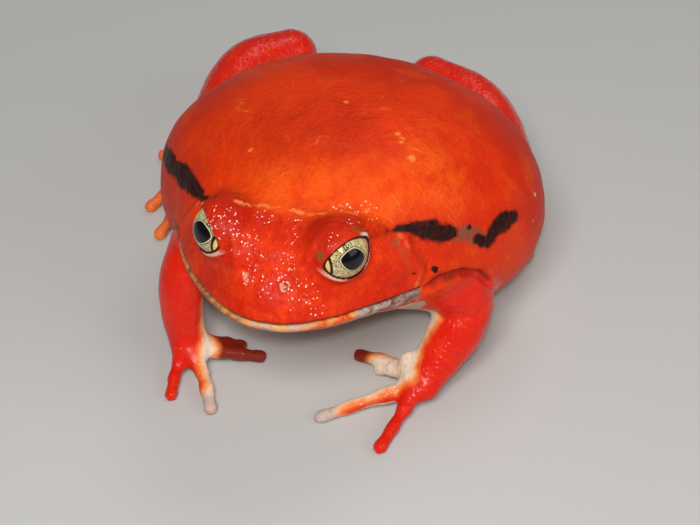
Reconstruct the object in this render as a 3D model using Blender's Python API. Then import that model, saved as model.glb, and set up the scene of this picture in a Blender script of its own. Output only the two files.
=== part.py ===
"""A tomato frog sitting with its head raised, as a still, life-size model.

The frog faces -Y and its left side is at +X. It rests on the floor at Z = 0, on a flat
of its belly, its finger tips and its toes. Lengths are in millimetres up to the point
where a mesh is made, which turns them into metres.
"""
import math

import bmesh
import bpy
import numpy as np
from mathutils import Vector

MM = 0.001
GAP = 0.3                # clearance that pieces keep where they meet
MERGE = 0.002            # points closer than this are one point
FAR = 200.0              # larger than the frog, for half spaces

# Trunk sections from the snout to the vent. Each has y, half width, height of the
# widest level, of the top and of the underside, and the roundness above and below.
TRUNK = (
    (-53.4, 0.0, 32.0, 32.0, 32.0, 2.0, 2.0),
    (-52.8, 4.0, 31.6, 34.4, 30.0, 2.0, 2.3),
    (-51.4, 6.9, 31.2, 36.6, 28.9, 2.0, 2.4),
    (-49.0, 10.0, 30.6, 38.7, 27.8, 2.0, 2.5),
    (-46.0, 13.2, 30.0, 40.6, 26.6, 1.95, 2.5),
    (-42.0, 16.6, 29.2, 42.6, 24.9, 1.9, 2.4),
    (-37.0, 20.3, 28.1, 44.1, 22.4, 1.95, 2.3),
    (-32.0, 23.4, 26.7, 45.4, 18.8, 2.0, 2.2),
    (-26.0, 27.8, 24.6, 46.8, 13.6, 2.2, 2.2),
    (-16.0, 34.3, 23.0, 47.6, 4.6, 2.3, 2.2),
    (-5.0, 37.2, 22.5, 46.7, -1.0, 2.3, 2.1),
    (6.0, 34.9, 22.0, 44.1, -1.8, 2.2, 2.0),
    (16.0, 28.8, 20.5, 39.3, -1.2, 2.1, 1.9),
    (22.5, 20.8, 18.5, 32.6, 2.5, 2.05, 1.9),
    (25.9, 12.0, 16.8, 25.0, 7.0, 2.0, 2.0),
    (27.0, 0.0, 16.0, 16.0, 16.0, 2.0, 2.0),
)
HEAD_ROWS = 21           # rings of points from the snout to the neck
BODY_ROWS = 20           # rings of points from the neck to the vent
ROUND = 40               # points round the trunk

# The head is swung a little about the shoulders, to the frog's right.
SWING_FROM = -22.0
SWING_OVER = 22.0
SWING_ANGLE = 1.6
SWING_SHIFT = -2.1

# The right flank is drawn in a little, by this share behind where it starts.
FLANK_FROM = -14.0
FLANK_OVER = 16.0
FLANK_DRAWN = 0.05

NECK_Y = -29.0
MOUTH_FRONT = (-53.4, 32.6)      # y and height of the mouth line at the snout
MOUTH_CORNER = (-30.0, 28.0)     # and at its corners
LIP_RADIUS = 0.95
LIP_SUNK = 0.55                  # how far the lip's middle line lies inside the skin
LIP_INSET = 0.75                 # how far behind the snout its sides meet the front
LIP_STATIONS = 13
LIP_RINGS = 34

EYE = (10.2, -41.0, 41.2)
EYE_RADIUS = 5.2
CORNEA_RISE = 0.35
CORNEA_SPREAD = 0.75             # angle from the line of sight at which the rise ends
GAZE = (0.80, -0.56, 0.20)
BROW = (6.4, 7.0, 6.0)           # half sizes of the mound of skin over each eye
BROW_FOOT = (8.6, 10.0, 4.6)     # and of the wider swelling it rises from
BROW_FOOT_SHIFT = (0.0, 1.0, -1.6)
LID_OPENING = (4.35, 3.65)       # half sizes of the gap between the lids
LID_RADIUS = 0.55
LID_SPREAD = 0.6                 # share of the lid's thickness outside the gap
LID_LIFT = 0.7                   # and above the eyeball
LID_BORE = (0.5, 12.0)           # from where to where the gap is cut, from the eye's middle

NOSTRIL = (3.3, -49.5, 38.5)
NOSTRIL_FACING = (0.45, -0.55, 0.70)
NOSTRIL_RIM = (0.85, 0.38)       # radius of the ring and of its thickness
NOSTRIL_BORE = 0.55
NOSTRIL_REACH = (-0.9, 0.4, 1.6)

EAR = (20.0, -36.6, 33.6)
EAR_SIZE = (1.1, 2.7, 3.1)
EAR_FOLD = (
    (15.6, -35.4, 40.6, 0.5), (18.4, -33.6, 39.0, 0.9), (21.6, -32.6, 36.0, 1.1),
    (23.6, -32.3, 32.4, 1.0), (24.0, -32.6, 29.4, 0.6),
)

# Paths of the limbs: x, y, height, and the half thickness sideways and up and down
ARM_LEFT = (
    (17.0, -23.6, 22.5, 5.8, 6.0), (23.4, -22.8, 21.6, 5.7, 5.8), (27.6, -21.7, 17.2, 5.0, 5.1),
    (27.0, -24.2, 11.8, 4.7, 4.6), (24.8, -28.3, 7.4, 4.1, 3.9), (22.6, -31.8, 4.9, 4.0, 3.0),
)
ARM_RIGHT = (
    (-17.0, -23.6, 22.0, 5.8, 6.0), (-22.2, -27.0, 21.6, 5.3, 5.6), (-24.4, -31.2, 17.2, 4.5, 4.8),
    (-24.3, -33.4, 11.8, 4.1, 4.2), (-23.6, -34.4, 7.4, 3.8, 3.7), (-22.4, -35.6, 4.9, 3.8, 3.0),
)
ELBOW_LEFT = ((27.6, -21.9, 15.6), (-0.25, 0.20, 0.95))
ELBOW_RIGHT = ((-25.0, -31.6, 15.4), (0.20, 0.30, 0.93))
WRIST_LEFT = ((23.8, -29.9, 6.2), (0.40, 0.68, 0.62))
WRIST_RIGHT = ((-23.1, -34.9, 6.3), (-0.28, 0.26, 0.92))
PALM_LEFT = (22.0, -32.9, 4.0)
PALM_RIGHT = (-21.9, -36.3, 4.0)
PALM_SIZE = (4.1, 3.9, 2.6)
FINGERS_LEFT = (
    ((21.0, -32.2, 4.0), (16.6, -30.7, 3.0), (12.6, -29.6, 1.0)),
    ((21.0, -31.6, 3.8), (15.2, -28.4, 2.7), (8.2, -26.4, 1.0)),
    ((21.5, -33.5, 3.6), (15.3, -37.0, 2.5), (6.0, -43.5, 1.0)),
    ((21.6, -33.6, 3.6), (20.5, -38.8, 2.5), (18.6, -47.4, 1.0)),
)
FINGERS_RIGHT = (
    ((-21.0, -35.0, 4.0), (-17.6, -32.8, 3.0), (-14.0, -30.2, 1.0)),
    ((-21.0, -35.6, 3.8), (-15.8, -34.2, 2.7), (-9.6, -32.0, 1.0)),
    ((-21.4, -36.6, 3.6), (-18.3, -40.4, 2.5), (-14.0, -47.4, 1.0)),
    ((-22.4, -36.6, 3.6), (-23.1, -40.4, 2.5), (-22.3, -46.2, 1.0)),
)
FINGER_RADII = (2.0, 1.45, 1.2)

THIGH_LEFT = ((11.5, 17.0, 10.5, 7.6, 8.2), (19.5, 13.0, 10.4, 7.9, 8.2), (27.0, 8.0, 10.6, 6.4, 6.8))
THIGH_RIGHT = ((-12.0, 16.5, 10.5, 7.6, 8.2), (-22.5, 11.0, 10.4, 7.9, 8.2), (-31.6, 5.0, 10.6, 6.4, 6.8))
SHANK_LEFT = (
    (26.6, 9.6, 12.4, 6.2, 6.4), (23.2, 21.8, 15.2, 6.4, 6.9), (15.2, 32.2, 17.4, 6.4, 7.0),
    (4.6, 37.0, 18.0, 5.4, 6.2),
)
SHANK_RIGHT = (
    (-31.6, 6.6, 12.2, 6.2, 6.4), (-33.8, 18.8, 15.8, 6.5, 7.0), (-31.8, 29.6, 18.4, 6.6, 7.0),
    (-25.7, 36.6, 18.5, 5.6, 6.2),
)
KNEE_LEFT = ((28.4, 7.6, 12.0), (0.62, 0.78, 0.0))
KNEE_RIGHT = ((-33.0, 4.4, 12.0), (-0.72, 0.69, 0.0))
TARSUS_LEFT = (
    (4.4, 36.4, 10.0, 4.4, 4.6), (8.0, 33.6, 5.6, 4.0, 3.9), (16.0, 27.4, 3.8, 3.7, 3.4),
    (22.5, 21.0, 3.0, 4.4, 2.8),
)
TARSUS_RIGHT = (
    (-24.6, 36.4, 11.0, 4.4, 4.6), (-27.6, 32.6, 6.2, 4.0, 3.9), (-33.0, 25.0, 3.9, 3.7, 3.4),
    (-36.4, 16.4, 3.0, 4.4, 2.8),
)
TOES_LEFT = (
    ((21.6, 20.6, 3.0), (23.0, 16.0, 2.2), (23.6, 11.0, 1.0)),
    ((22.4, 20.4, 3.0), (24.8, 14.2, 2.2), (26.6, 7.4, 1.0)),
    ((23.0, 20.4, 3.0), (26.8, 13.0, 2.2), (29.8, 4.8, 1.0)),
    ((23.4, 20.8, 3.0), (28.4, 16.2, 2.2), (32.4, 10.6, 1.0)),
    ((23.4, 21.8, 3.0), (28.0, 20.2, 2.2), (32.2, 17.6, 1.0)),
)
TOES_RIGHT = (
    ((-34.8, 15.6, 3.0), (-33.0, 11.2, 2.2), (-31.0, 5.8, 1.0)),
    ((-35.6, 15.2, 3.0), (-34.8, 8.6, 2.2), (-33.8, 0.6, 1.0)),
    ((-36.6, 15.0, 3.0), (-38.4, 6.2, 2.2), (-40.2, -5.2, 1.0)),
    ((-37.4, 15.2, 3.0), (-41.4, 9.4, 2.2), (-45.0, 2.2, 1.0)),
    ((-37.6, 16.4, 3.0), (-43.0, 17.4, 2.2), (-48.2, 18.2, 1.0)),
)
TOE_RADII = (2.0, 1.5, 1.25)

LIMB_RINGS = 8           # rings of points along a limb, and points round it
LIMB_ROUND = 16
BENT_RINGS = 6           # further rings where a limb is bent
DIGIT_RINGS = 6
DIGIT_ROUND = 8
SMOOTH_ANGLE = 50.0      # edges sharper than this stay sharp

# Colour and roughness of each kind of skin and of the eyes
BACK_FINISH = ((0.79, 0.045, 0.004, 1.0), 0.38)
HEAD_FINISH = ((0.66, 0.030, 0.004, 1.0), 0.40)
JAW_FINISH = ((0.72, 0.30, 0.10, 1.0), 0.45)
LIMB_FINISH = ((0.70, 0.028, 0.003, 1.0), 0.30)
IRIS_FINISH = ((0.36, 0.27, 0.12, 1.0), 0.08)


def clear_scene():
    for item in list(bpy.data.objects):
        bpy.data.objects.remove(item, do_unlink=True)


def skin(name, colour, roughness):
    """A plain Principled finish in one colour."""
    material = bpy.data.materials.new(name)
    material.use_nodes = True
    shader = material.node_tree.nodes["Principled BSDF"]
    shader.inputs["Base Color"].default_value = colour
    shader.inputs["Roughness"].default_value = roughness
    shader.inputs["Metallic"].default_value = 0.0
    return material


def travel_along(points):
    """Distance from the first point, along the straight lines from each to the next."""
    steps = np.linalg.norm(np.diff(points, axis=0), axis=1)
    return np.concatenate([[0.0], np.cumsum(steps)])


def smooth_line(stations, values, places):
    """Cubic pieces through the stations, each slope weighed from the chords beside it."""
    x = np.asarray(stations, float)
    y = np.asarray(values, float)
    step = np.diff(x)
    chord = np.diff(y) / step
    slope = np.empty_like(y)
    slope[1:-1] = (chord[:-1] * step[1:] + chord[1:] * step[:-1]) / (step[:-1] + step[1:])
    slope[0] = chord[0]
    slope[-1] = chord[-1]
    i = np.clip(np.searchsorted(x, places) - 1, 0, len(x) - 2)
    t = (places - x[i]) / step[i]
    rise = (t**3 - 2*t**2 + t) * slope[i] + (t**3 - t**2) * slope[i + 1]
    return (2*t**3 - 3*t**2 + 1) * y[i] + (3*t**2 - 2*t**3) * y[i + 1] + step[i] * rise


def swing(points):
    """Turns and shifts what lies ahead of the shoulders, more towards the snout."""
    points = np.asarray(points, float)
    ahead = np.clip((SWING_FROM - points[..., 1]) / SWING_OVER, 0.0, 1.0)
    share = ahead**2 * (3 - 2*ahead)
    angle = math.radians(SWING_ANGLE) * share
    x = points[..., 0]
    y = points[..., 1] - SWING_FROM
    turned_x = x * np.cos(angle) - y * np.sin(angle) + SWING_SHIFT * share
    turned_y = x * np.sin(angle) + y * np.cos(angle) + SWING_FROM
    return np.stack([turned_x, turned_y, points[..., 2]], axis=-1)


def trunk_grid():
    """Superellipse sections set one behind another on a smooth line, from snout to vent."""
    table = np.array(TRUNK)
    travel = travel_along(table[:, [0, 1, 3]])
    neck = np.interp(NECK_Y, table[:, 0], travel)
    ahead = neck * (1 - np.cos(np.linspace(0, math.pi / 2, HEAD_ROWS)))
    behind = neck + (travel[-1] - neck) * np.sin(np.linspace(0, math.pi / 2, BODY_ROWS))
    places = np.concatenate([ahead, behind[1:]])
    y, half, side, top, under, above, below = (smooth_line(travel, column, places)[:, None]
                                               for column in table.T)
    half[0] = half[-1] = 0.0
    angle = np.linspace(0, 2 * math.pi, ROUND, endpoint=False)[None, :]
    cosine, sine = np.cos(angle), np.sin(angle)
    power = np.where(sine > 0, above, below)
    x = half * np.sign(cosine) * np.abs(cosine)**(2 / power)
    drawn = np.clip((y - FLANK_FROM) / FLANK_OVER, 0.0, 1.0)
    x = np.where(x < 0, x * (1 - FLANK_DRAWN * drawn**2 * (3 - 2*drawn)), x)
    reach = np.where(sine > 0, top - side, side - under)
    z = side + reach * np.sign(sine) * np.abs(sine)**(2 / power)
    return swing(np.stack([x, y + 0 * x, np.maximum(z, 0.0)], axis=-1))


def tube_grid(path, rings, around, cap_rings=3):
    """A tube with round ends along a smooth path of x, y, z, half width, half height.

    The sideways direction starts level at the far end and is carried back without a twist.
    """
    path = np.array(path)
    travel = travel_along(path[:, :3])
    places = np.linspace(0, travel[-1], rings)
    line = np.stack([smooth_line(travel, column, places) for column in path.T], axis=1)
    forward = np.gradient(line[:, :3], axis=0)
    forward /= np.linalg.norm(forward, axis=1, keepdims=True)
    side = np.empty_like(forward)
    side[-1] = np.cross(forward[-1], (0.0, 0.0, 1.0))
    for i in range(rings - 2, -1, -1):
        side[i] = side[i + 1] - forward[i] * (side[i + 1] @ forward[i])
    side /= np.linalg.norm(side, axis=1, keepdims=True)
    over = np.cross(side, forward)
    turn = np.linspace(0, math.pi / 2, cap_rings, endpoint=False)
    ends = np.concatenate([-np.cos(turn), np.zeros(rings), np.cos(turn[::-1])])
    shrink = np.concatenate([np.sin(turn), np.ones(rings), np.sin(turn[::-1])])
    row = np.concatenate([np.zeros(cap_rings, int), np.arange(rings), np.full(cap_rings, rings - 1)])
    centre = line[row, :3] + forward[row] * (ends * line[row, 3])[:, None]
    angle = np.linspace(0, 2 * math.pi, around, endpoint=False)[None, :, None]
    across = (line[row, 3] * shrink)[:, None, None] * np.cos(angle) * side[row][:, None]
    upward = (line[row, 4] * shrink)[:, None, None] * np.sin(angle) * over[row][:, None]
    return centre[:, None] + across + upward


def ball_grid(centre, sizes, rings, around):
    """An ellipsoid with its poles up and down."""
    tilt = np.linspace(-math.pi / 2, math.pi / 2, rings)[:, None]
    turn = np.linspace(0, 2 * math.pi, around, endpoint=False)[None, :]
    shape = np.stack([np.cos(tilt) * np.cos(turn), np.cos(tilt) * np.sin(turn),
                      np.sin(tilt) + 0 * turn], axis=-1)
    return np.array(centre) + shape * np.array(sizes)


def closed_piece(name, points, faces):
    """An object from the points and faces of a closed surface, as triangles facing outwards."""
    mesh = bpy.data.meshes.new(name)
    mesh.from_pydata((points * MM).tolist(), [], faces)
    shape = bmesh.new()
    shape.from_mesh(mesh)
    bmesh.ops.triangulate(shape, faces=shape.faces)
    bmesh.ops.recalc_face_normals(shape, faces=shape.faces)
    if shape.calc_volume(signed=True) < 0:
        bmesh.ops.reverse_faces(shape, faces=shape.faces)
    shape.to_mesh(mesh)
    shape.free()
    piece = bpy.data.objects.new(name, mesh)
    bpy.context.collection.objects.link(piece)
    return piece


def closed_mesh(name, grid):
    """A closed piece from rings of points whose first and last ring shrink to a point."""
    rings, around = grid.shape[:2]
    middle = grid[1:-1].reshape(-1, 3)
    points = np.concatenate([grid[:1].mean(axis=1), middle, grid[-1:].mean(axis=1)])
    ring = np.arange(around)
    after = (ring + 1) % around
    faces = [(0, 1 + b, 1 + a) for a, b in zip(ring, after)]
    for row in range(rings - 3):
        start = 1 + row * around
        faces += [(start + a, start + b, start + around + b, start + around + a)
                  for a, b in zip(ring, after)]
    start = 1 + (rings - 3) * around
    faces += [(start + a, start + b, len(points) - 1) for a, b in zip(ring, after)]
    return closed_piece(name, points, faces)


def grown(piece, by):
    """A copy whose surface stands out further by the clearance."""
    mesh = piece.data.copy()
    normals = np.array([vertex.normal for vertex in mesh.vertices])
    points = np.array([vertex.co for vertex in mesh.vertices]) + normals * by * MM
    mesh.vertices.foreach_set("co", points.ravel())
    copy = bpy.data.objects.new(piece.name + "_grown", mesh)
    bpy.context.collection.objects.link(copy)
    return copy


def remove(*pieces):
    for piece in pieces:
        bpy.data.objects.remove(piece, do_unlink=True)


def bake_modifiers(piece):
    piece.data = bpy.data.meshes.new_from_object(
        piece.evaluated_get(bpy.context.evaluated_depsgraph_get()))
    piece.modifiers.clear()


def joined(name, pieces):
    """One closed body from pieces that run into each other."""
    group = bpy.data.collections.new(name + "_pieces")
    bpy.context.scene.collection.children.link(group)
    for piece in pieces[1:]:
        group.objects.link(piece)
    union = pieces[0].modifiers.new("union", "BOOLEAN")
    union.operation = "UNION"
    union.solver = "MANIFOLD"
    union.operand_type = "COLLECTION"
    union.collection = group
    bake_modifiers(pieces[0])
    remove(*pieces[1:])
    bpy.data.collections.remove(group)
    pieces[0].name = name
    return pieces[0]


def cut(piece, *cutters):
    """Takes each cutter out of the piece."""
    for cutter in cutters:
        difference = piece.modifiers.new("cut", "BOOLEAN")
        difference.operation = "DIFFERENCE"
        difference.solver = "MANIFOLD"
        difference.object = cutter
        bake_modifiers(piece)


def copy_of(piece, name):
    copy = bpy.data.objects.new(name, piece.data.copy())
    bpy.context.collection.objects.link(copy)
    return copy


def keep_side(piece, point, facing):
    """Keeps what lies beyond a plane, half a clearance from it."""
    normal = Vector(facing).normalized()
    bpy.ops.mesh.primitive_cube_add(size=FAR * MM)
    block = bpy.context.active_object
    block.rotation_mode = "QUATERNION"
    block.rotation_quaternion = normal.to_track_quat("Z", "Y")
    block.location = (Vector(point) + normal * (GAP / 2 - FAR / 2)) * MM
    bpy.context.view_layer.update()
    cut(piece, block)
    remove(block)


def finish(piece, name, material):
    """Keeps the largest closed surface, as triangles without slivers, shaded smooth."""
    shape = bmesh.new()
    shape.from_mesh(piece.data)
    bmesh.ops.remove_doubles(shape, verts=shape.verts, dist=MERGE * MM)
    bmesh.ops.dissolve_degenerate(shape, edges=shape.edges, dist=MERGE * MM)
    bmesh.ops.triangulate(shape, faces=shape.faces)
    left = set(shape.faces)
    islands = []
    while left:
        front = [left.pop()]
        island = set(front)
        while front:
            for edge in front.pop().edges:
                for face in edge.link_faces:
                    if face in left and len(edge.link_faces) == 2:
                        left.remove(face)
                        island.add(face)
                        front.append(face)
        islands.append(island)
    islands.sort(key=lambda island: sum(face.calc_area() for face in island))
    for island in islands[:-1]:
        bmesh.ops.delete(shape, geom=list(island), context="FACES")
    bmesh.ops.delete(shape, geom=[v for v in shape.verts if not v.link_faces], context="VERTS")
    bmesh.ops.recalc_face_normals(shape, faces=shape.faces)
    if shape.calc_volume(signed=True) < 0:
        bmesh.ops.reverse_faces(shape, faces=shape.faces)
    shape.to_mesh(piece.data)
    shape.free()
    piece.name = name
    piece.data.name = name
    piece.data.materials.clear()
    piece.data.materials.append(material)
    piece.data.shade_smooth()
    piece.data.set_sharp_from_angle(angle=math.radians(SMOOTH_ANGLE))


def gaze_frame(side):
    """The eye's outward direction, and directions along and across the lids."""
    out = np.array([side * GAZE[0], GAZE[1], GAZE[2]])
    out /= np.linalg.norm(out)
    along = np.cross((0.0, 0.0, 1.0), out)
    along /= np.linalg.norm(along)
    return out, along, np.cross(out, along)


def eye_centre(side):
    return swing([side * EYE[0], EYE[1], EYE[2]])


def eyeball(side, radius):
    """A ball whose poles lie on the line of sight, with a low rise for the cornea."""
    out, along, across = gaze_frame(side)
    tilt = np.linspace(0, math.pi, 12)[:, None]
    turn = np.linspace(0, 2 * math.pi, 18, endpoint=False)[None, :]
    rise = CORNEA_RISE * np.clip(1 - (tilt / CORNEA_SPREAD)**2, 0, 1)
    reach = radius + rise
    grid = (reach * np.cos(tilt))[..., None] * out
    grid = grid + (reach * np.sin(tilt) * np.cos(turn))[..., None] * along
    grid = grid + (reach * np.sin(tilt) * np.sin(turn))[..., None] * across
    return closed_mesh("ball", grid + eye_centre(side))


def lid_rim(side):
    """The thickened edge of the lids, a ring round the opening on the brow."""
    out, along, across = gaze_frame(side)
    turn = np.linspace(0, 2 * math.pi, 21)
    width, height = (size + LID_RADIUS * LID_SPREAD for size in LID_OPENING)
    flat = np.outer(width * np.cos(turn), along) + np.outer(height * np.sin(turn), across)
    depth = np.sqrt((EYE_RADIUS + GAP + LID_RADIUS * LID_LIFT)**2 - (flat**2).sum(axis=1))
    return ring_mesh("lid", eye_centre(side) + flat + np.outer(depth, out), LID_RADIUS, 6)


def ring_mesh(name, line, radius, around):
    """A round bar bent into a closed ring along a line whose last point is its first."""
    line = np.asarray(line)[:-1]
    middle = line.mean(axis=0)
    forward = np.roll(line, -1, axis=0) - np.roll(line, 1, axis=0)
    forward /= np.linalg.norm(forward, axis=1, keepdims=True)
    outward = line - middle
    outward -= (outward * forward).sum(axis=1, keepdims=True) * forward
    outward /= np.linalg.norm(outward, axis=1, keepdims=True)
    over = np.cross(forward, outward)
    angle = np.linspace(0, 2 * math.pi, around, endpoint=False)[None, :, None]
    points = line[:, None] + radius * (np.cos(angle) * outward[:, None] + np.sin(angle) * over[:, None])
    count = len(line)
    faces = []
    for i in range(count):
        for j in range(around):
            after, beside = (i + 1) % count, (j + 1) % around
            faces.append((i * around + j, after * around + j,
                          after * around + beside, i * around + beside))
    return closed_piece(name, points.reshape(-1, 3), faces)


def lid_opening(side):
    """The cutter for the gap between the lids: an oval bar along the line of sight."""
    out, along, across = gaze_frame(side)
    turn = np.linspace(0, 2 * math.pi, 20, endpoint=False)
    oval = np.outer(LID_OPENING[0] * np.cos(turn), along)
    oval = oval + np.outer(LID_OPENING[1] * np.sin(turn), across)
    reach = np.repeat(LID_BORE, 2)
    spread = np.array([0.0, 1.0, 1.0, 0.0])
    grid = eye_centre(side) + spread[:, None, None] * oval + (reach[:, None] * out)[:, None]
    return closed_mesh("opening", grid)


def trunk_surface_point(y, height, side):
    """A point on the trunk's flank at a place along it and a height."""
    table = np.array(TRUNK)
    travel = travel_along(table[:, [0, 1, 3]])
    fine = np.linspace(0, travel[-1], 600)
    rows = np.stack([smooth_line(travel, column, fine) for column in table.T], axis=1)
    _, half, level, top, under, above, below = rows[np.argmin(np.abs(rows[:, 0] - y))]
    reach, power = (top - level, above) if height > level else (level - under, below)
    share = min(1.0, abs(height - level) / reach)
    return np.array([side * half * (1 - share**power)**(1 / power), y, height])


def mouth_height(y):
    share = (y - MOUTH_FRONT[0]) / (MOUTH_CORNER[0] - MOUTH_FRONT[0])
    return MOUTH_FRONT[1] + share * (MOUTH_CORNER[1] - MOUTH_FRONT[1])


def lips():
    """A low rounded ridge along the mouth line, from one corner round to the other."""
    share = np.linspace(0, 1, LIP_STATIONS)
    reach = MOUTH_FRONT[0] + LIP_INSET - MOUTH_CORNER[0]
    places = MOUTH_CORNER[0] + reach * (1 - (1 - share)**2)
    left = np.array([trunk_surface_point(y, mouth_height(y), 1.0) for y in places])
    line = np.concatenate([left, [[0.0, *MOUTH_FRONT]], left[::-1] * [-1, 1, 1]])
    inward = np.gradient(line[:, :2], axis=0)
    inward /= np.linalg.norm(inward, axis=1, keepdims=True)
    line[:, :2] += LIP_SUNK * np.stack([inward[:, 1], -inward[:, 0]], axis=1)
    line = swing(line)
    radius = np.full((len(line), 2), LIP_RADIUS)
    return closed_mesh("lips", tube_grid(np.hstack([line, radius]), LIP_RINGS, 7, 2))


def nostril_frame(side):
    place = swing([side * NOSTRIL[0], NOSTRIL[1], NOSTRIL[2]])
    out = np.array(NOSTRIL_FACING) * [side, 1, 1]
    return place, out / np.linalg.norm(out)


def nostril_rim(side):
    """A small ring of skin round each nostril."""
    place, out = nostril_frame(side)
    along = np.cross(out, (0.0, 0.0, 1.0))
    along /= np.linalg.norm(along)
    turn = np.linspace(0, 2 * math.pi, 13)
    circle = np.outer(np.cos(turn), along) + np.outer(np.sin(turn), np.cross(out, along))
    return ring_mesh("rim", place + NOSTRIL_RIM[0] * circle, NOSTRIL_RIM[1], 6)


def nostril_bore(side):
    place, out = nostril_frame(side)
    path = [np.append(place + out * reach, [NOSTRIL_BORE] * 2) for reach in NOSTRIL_REACH]
    return closed_mesh("bore", tube_grid(path, 4, 8, 3))


def ear(side):
    """The eardrum, a low oval behind the eye, and the fold of skin that curls round it."""
    drum = swing(ball_grid((side * EAR[0], EAR[1], EAR[2]), EAR_SIZE, 7, 12))
    table = np.array(EAR_FOLD)
    path = np.column_stack([swing(table[:, :3] * [side, 1, 1]), table[:, 3], table[:, 3]])
    return [closed_mesh("drum", drum), closed_mesh("fold", tube_grid(path, 9, 7, 2))]


def brow(side):
    """The mound of skin over an eye and the wider swelling it rises from."""
    mound = ball_grid((side * EYE[0], EYE[1], EYE[2]), BROW, 11, 20)
    place = np.array(EYE) + BROW_FOOT_SHIFT
    foot = ball_grid(place * [side, 1, 1], BROW_FOOT, 9, 18)
    return [closed_mesh("brow", swing(mound)), closed_mesh("brow_foot", swing(foot))]


def build_head(trunk, head, jaw_skin, iris):
    """Skull and upper jaw with lids, nostrils, ears and lips, and the lower jaw below them."""
    pieces = [copy_of(trunk, "head_form"), lips()]
    for side in (1.0, -1.0):
        pieces += brow(side) + [lid_rim(side), nostril_rim(side)] + ear(side)
    whole = joined("head_form", pieces)
    sockets = [eyeball(side, EYE_RADIUS + GAP) for side in (1.0, -1.0)]
    openings = [lid_opening(side) for side in (1.0, -1.0)]
    bores = [nostril_bore(side) for side in (1.0, -1.0)]
    cut(whole, *sockets, *openings, *bores)
    remove(*sockets, *openings, *bores)
    keep_side(whole, (0.0, NECK_Y, 0.0), (0.0, -1.0, 0.0))
    fall = (MOUTH_CORNER[1] - MOUTH_FRONT[1]) / (MOUTH_CORNER[0] - MOUTH_FRONT[0])
    jaw = copy_of(whole, "jaw_form")
    keep_side(whole, (0.0, *MOUTH_FRONT), (0.0, -fall, 1.0))
    keep_side(jaw, (0.0, *MOUTH_FRONT), (0.0, fall, -1.0))
    finish(whole, "head", head)
    finish(jaw, "lower_jaw", jaw_skin)
    for side, name in ((1.0, "eye_left"), (-1.0, "eye_right")):
        finish(eyeball(side, EYE_RADIUS), name, iris)


def digits(lines, radii):
    """Fingers or toes: thin tubes that end on small flats at the floor."""
    pieces = []
    for line in lines:
        path = [(*point, radius, radius) for point, radius in zip(line, radii)]
        grid = tube_grid(path, DIGIT_RINGS, DIGIT_ROUND)
        grid[..., 2] = np.maximum(grid[..., 2], 0.0)
        pieces.append(closed_mesh("digit", grid))
    return pieces


def build_arm(side_name, path, elbow, wrist, palm, fingers, head_room, torso, limb):
    """One arm made whole, let into the shoulder, and parted at its joints."""
    arm = closed_mesh("arm", tube_grid(path, LIMB_RINGS + BENT_RINGS, LIMB_ROUND))
    socket = grown(arm, GAP)
    cut(torso, socket)
    cut(arm, head_room)
    hand = closed_mesh("palm", ball_grid(palm, PALM_SIZE, 9, 14))
    whole = joined("arm", [arm, hand] + digits(fingers, FINGER_RADII))
    upper = copy_of(whole, "upper")
    fore = copy_of(whole, "fore")
    below = [-value for value in elbow[1]]
    beyond = [-value for value in wrist[1]]
    keep_side(upper, elbow[0], elbow[1])
    keep_side(fore, elbow[0], below)
    keep_side(fore, wrist[0], wrist[1])
    keep_side(whole, wrist[0], beyond)
    remove(socket)
    finish(upper, "upper_arm_" + side_name, limb)
    finish(fore, "forearm_" + side_name, limb)
    finish(whole, "hand_" + side_name, limb)


def build_leg(side_name, thigh_path, shank_path, knee, tarsus_path, toes, trunk_room, torso, limb):
    """Thigh let into the hip, shank folded flat against it, and the foot tucked under them."""
    thigh = closed_mesh("thigh", tube_grid(thigh_path, LIMB_RINGS, LIMB_ROUND))
    shank = closed_mesh("shank", tube_grid(shank_path, LIMB_RINGS + BENT_RINGS, LIMB_ROUND))
    tarsus = closed_mesh("tarsus", tube_grid(tarsus_path, LIMB_RINGS, LIMB_ROUND))
    foot = joined("foot", [tarsus] + digits(toes, TOE_RADII))
    room = [grown(thigh, GAP), grown(shank, GAP)]
    cut(torso, room[0])
    cut(foot, *room, trunk_room)
    remove(*room)
    away = [-value for value in knee[1]]
    keep_side(thigh, knee[0], away)
    keep_side(shank, knee[0], knee[1])
    cut(shank, trunk_room)
    finish(thigh, "thigh_" + side_name, limb)
    finish(shank, "shank_" + side_name, limb)
    finish(foot, "foot_" + side_name, limb)


def build():
    clear_scene()
    back = skin("back_skin", *BACK_FINISH)
    head = skin("head_skin", *HEAD_FINISH)
    jaw = skin("jaw_skin", *JAW_FINISH)
    limb = skin("limb_skin", *LIMB_FINISH)
    iris = skin("iris", *IRIS_FINISH)
    trunk = closed_mesh("trunk", trunk_grid())
    room = grown(trunk, GAP)
    head_room = copy_of(room, "head_room")
    keep_side(head_room, (0.0, NECK_Y + GAP, 0.0), (0.0, -1.0, 0.0))
    build_head(trunk, head, jaw, iris)
    keep_side(trunk, (0.0, NECK_Y, 0.0), (0.0, 1.0, 0.0))
    build_arm("left", ARM_LEFT, ELBOW_LEFT, WRIST_LEFT, PALM_LEFT, FINGERS_LEFT, head_room, trunk, limb)
    build_arm("right", ARM_RIGHT, ELBOW_RIGHT, WRIST_RIGHT, PALM_RIGHT, FINGERS_RIGHT,
              head_room, trunk, limb)
    build_leg("left", THIGH_LEFT, SHANK_LEFT, KNEE_LEFT, TARSUS_LEFT, TOES_LEFT, room, trunk, limb)
    build_leg("right", THIGH_RIGHT, SHANK_RIGHT, KNEE_RIGHT, TARSUS_RIGHT, TOES_RIGHT, room, trunk, limb)
    finish(trunk, "torso", back)
    remove(room, head_room)


build()
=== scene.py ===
"""The looks of a tomato frog: one moist skin over the whole body, two eyes, floor and light.

The frog faces -Y and its left side is at +X. Shapes are worked out in millimetres and are
turned into metres where a mesh is made.
"""
import math

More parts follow.
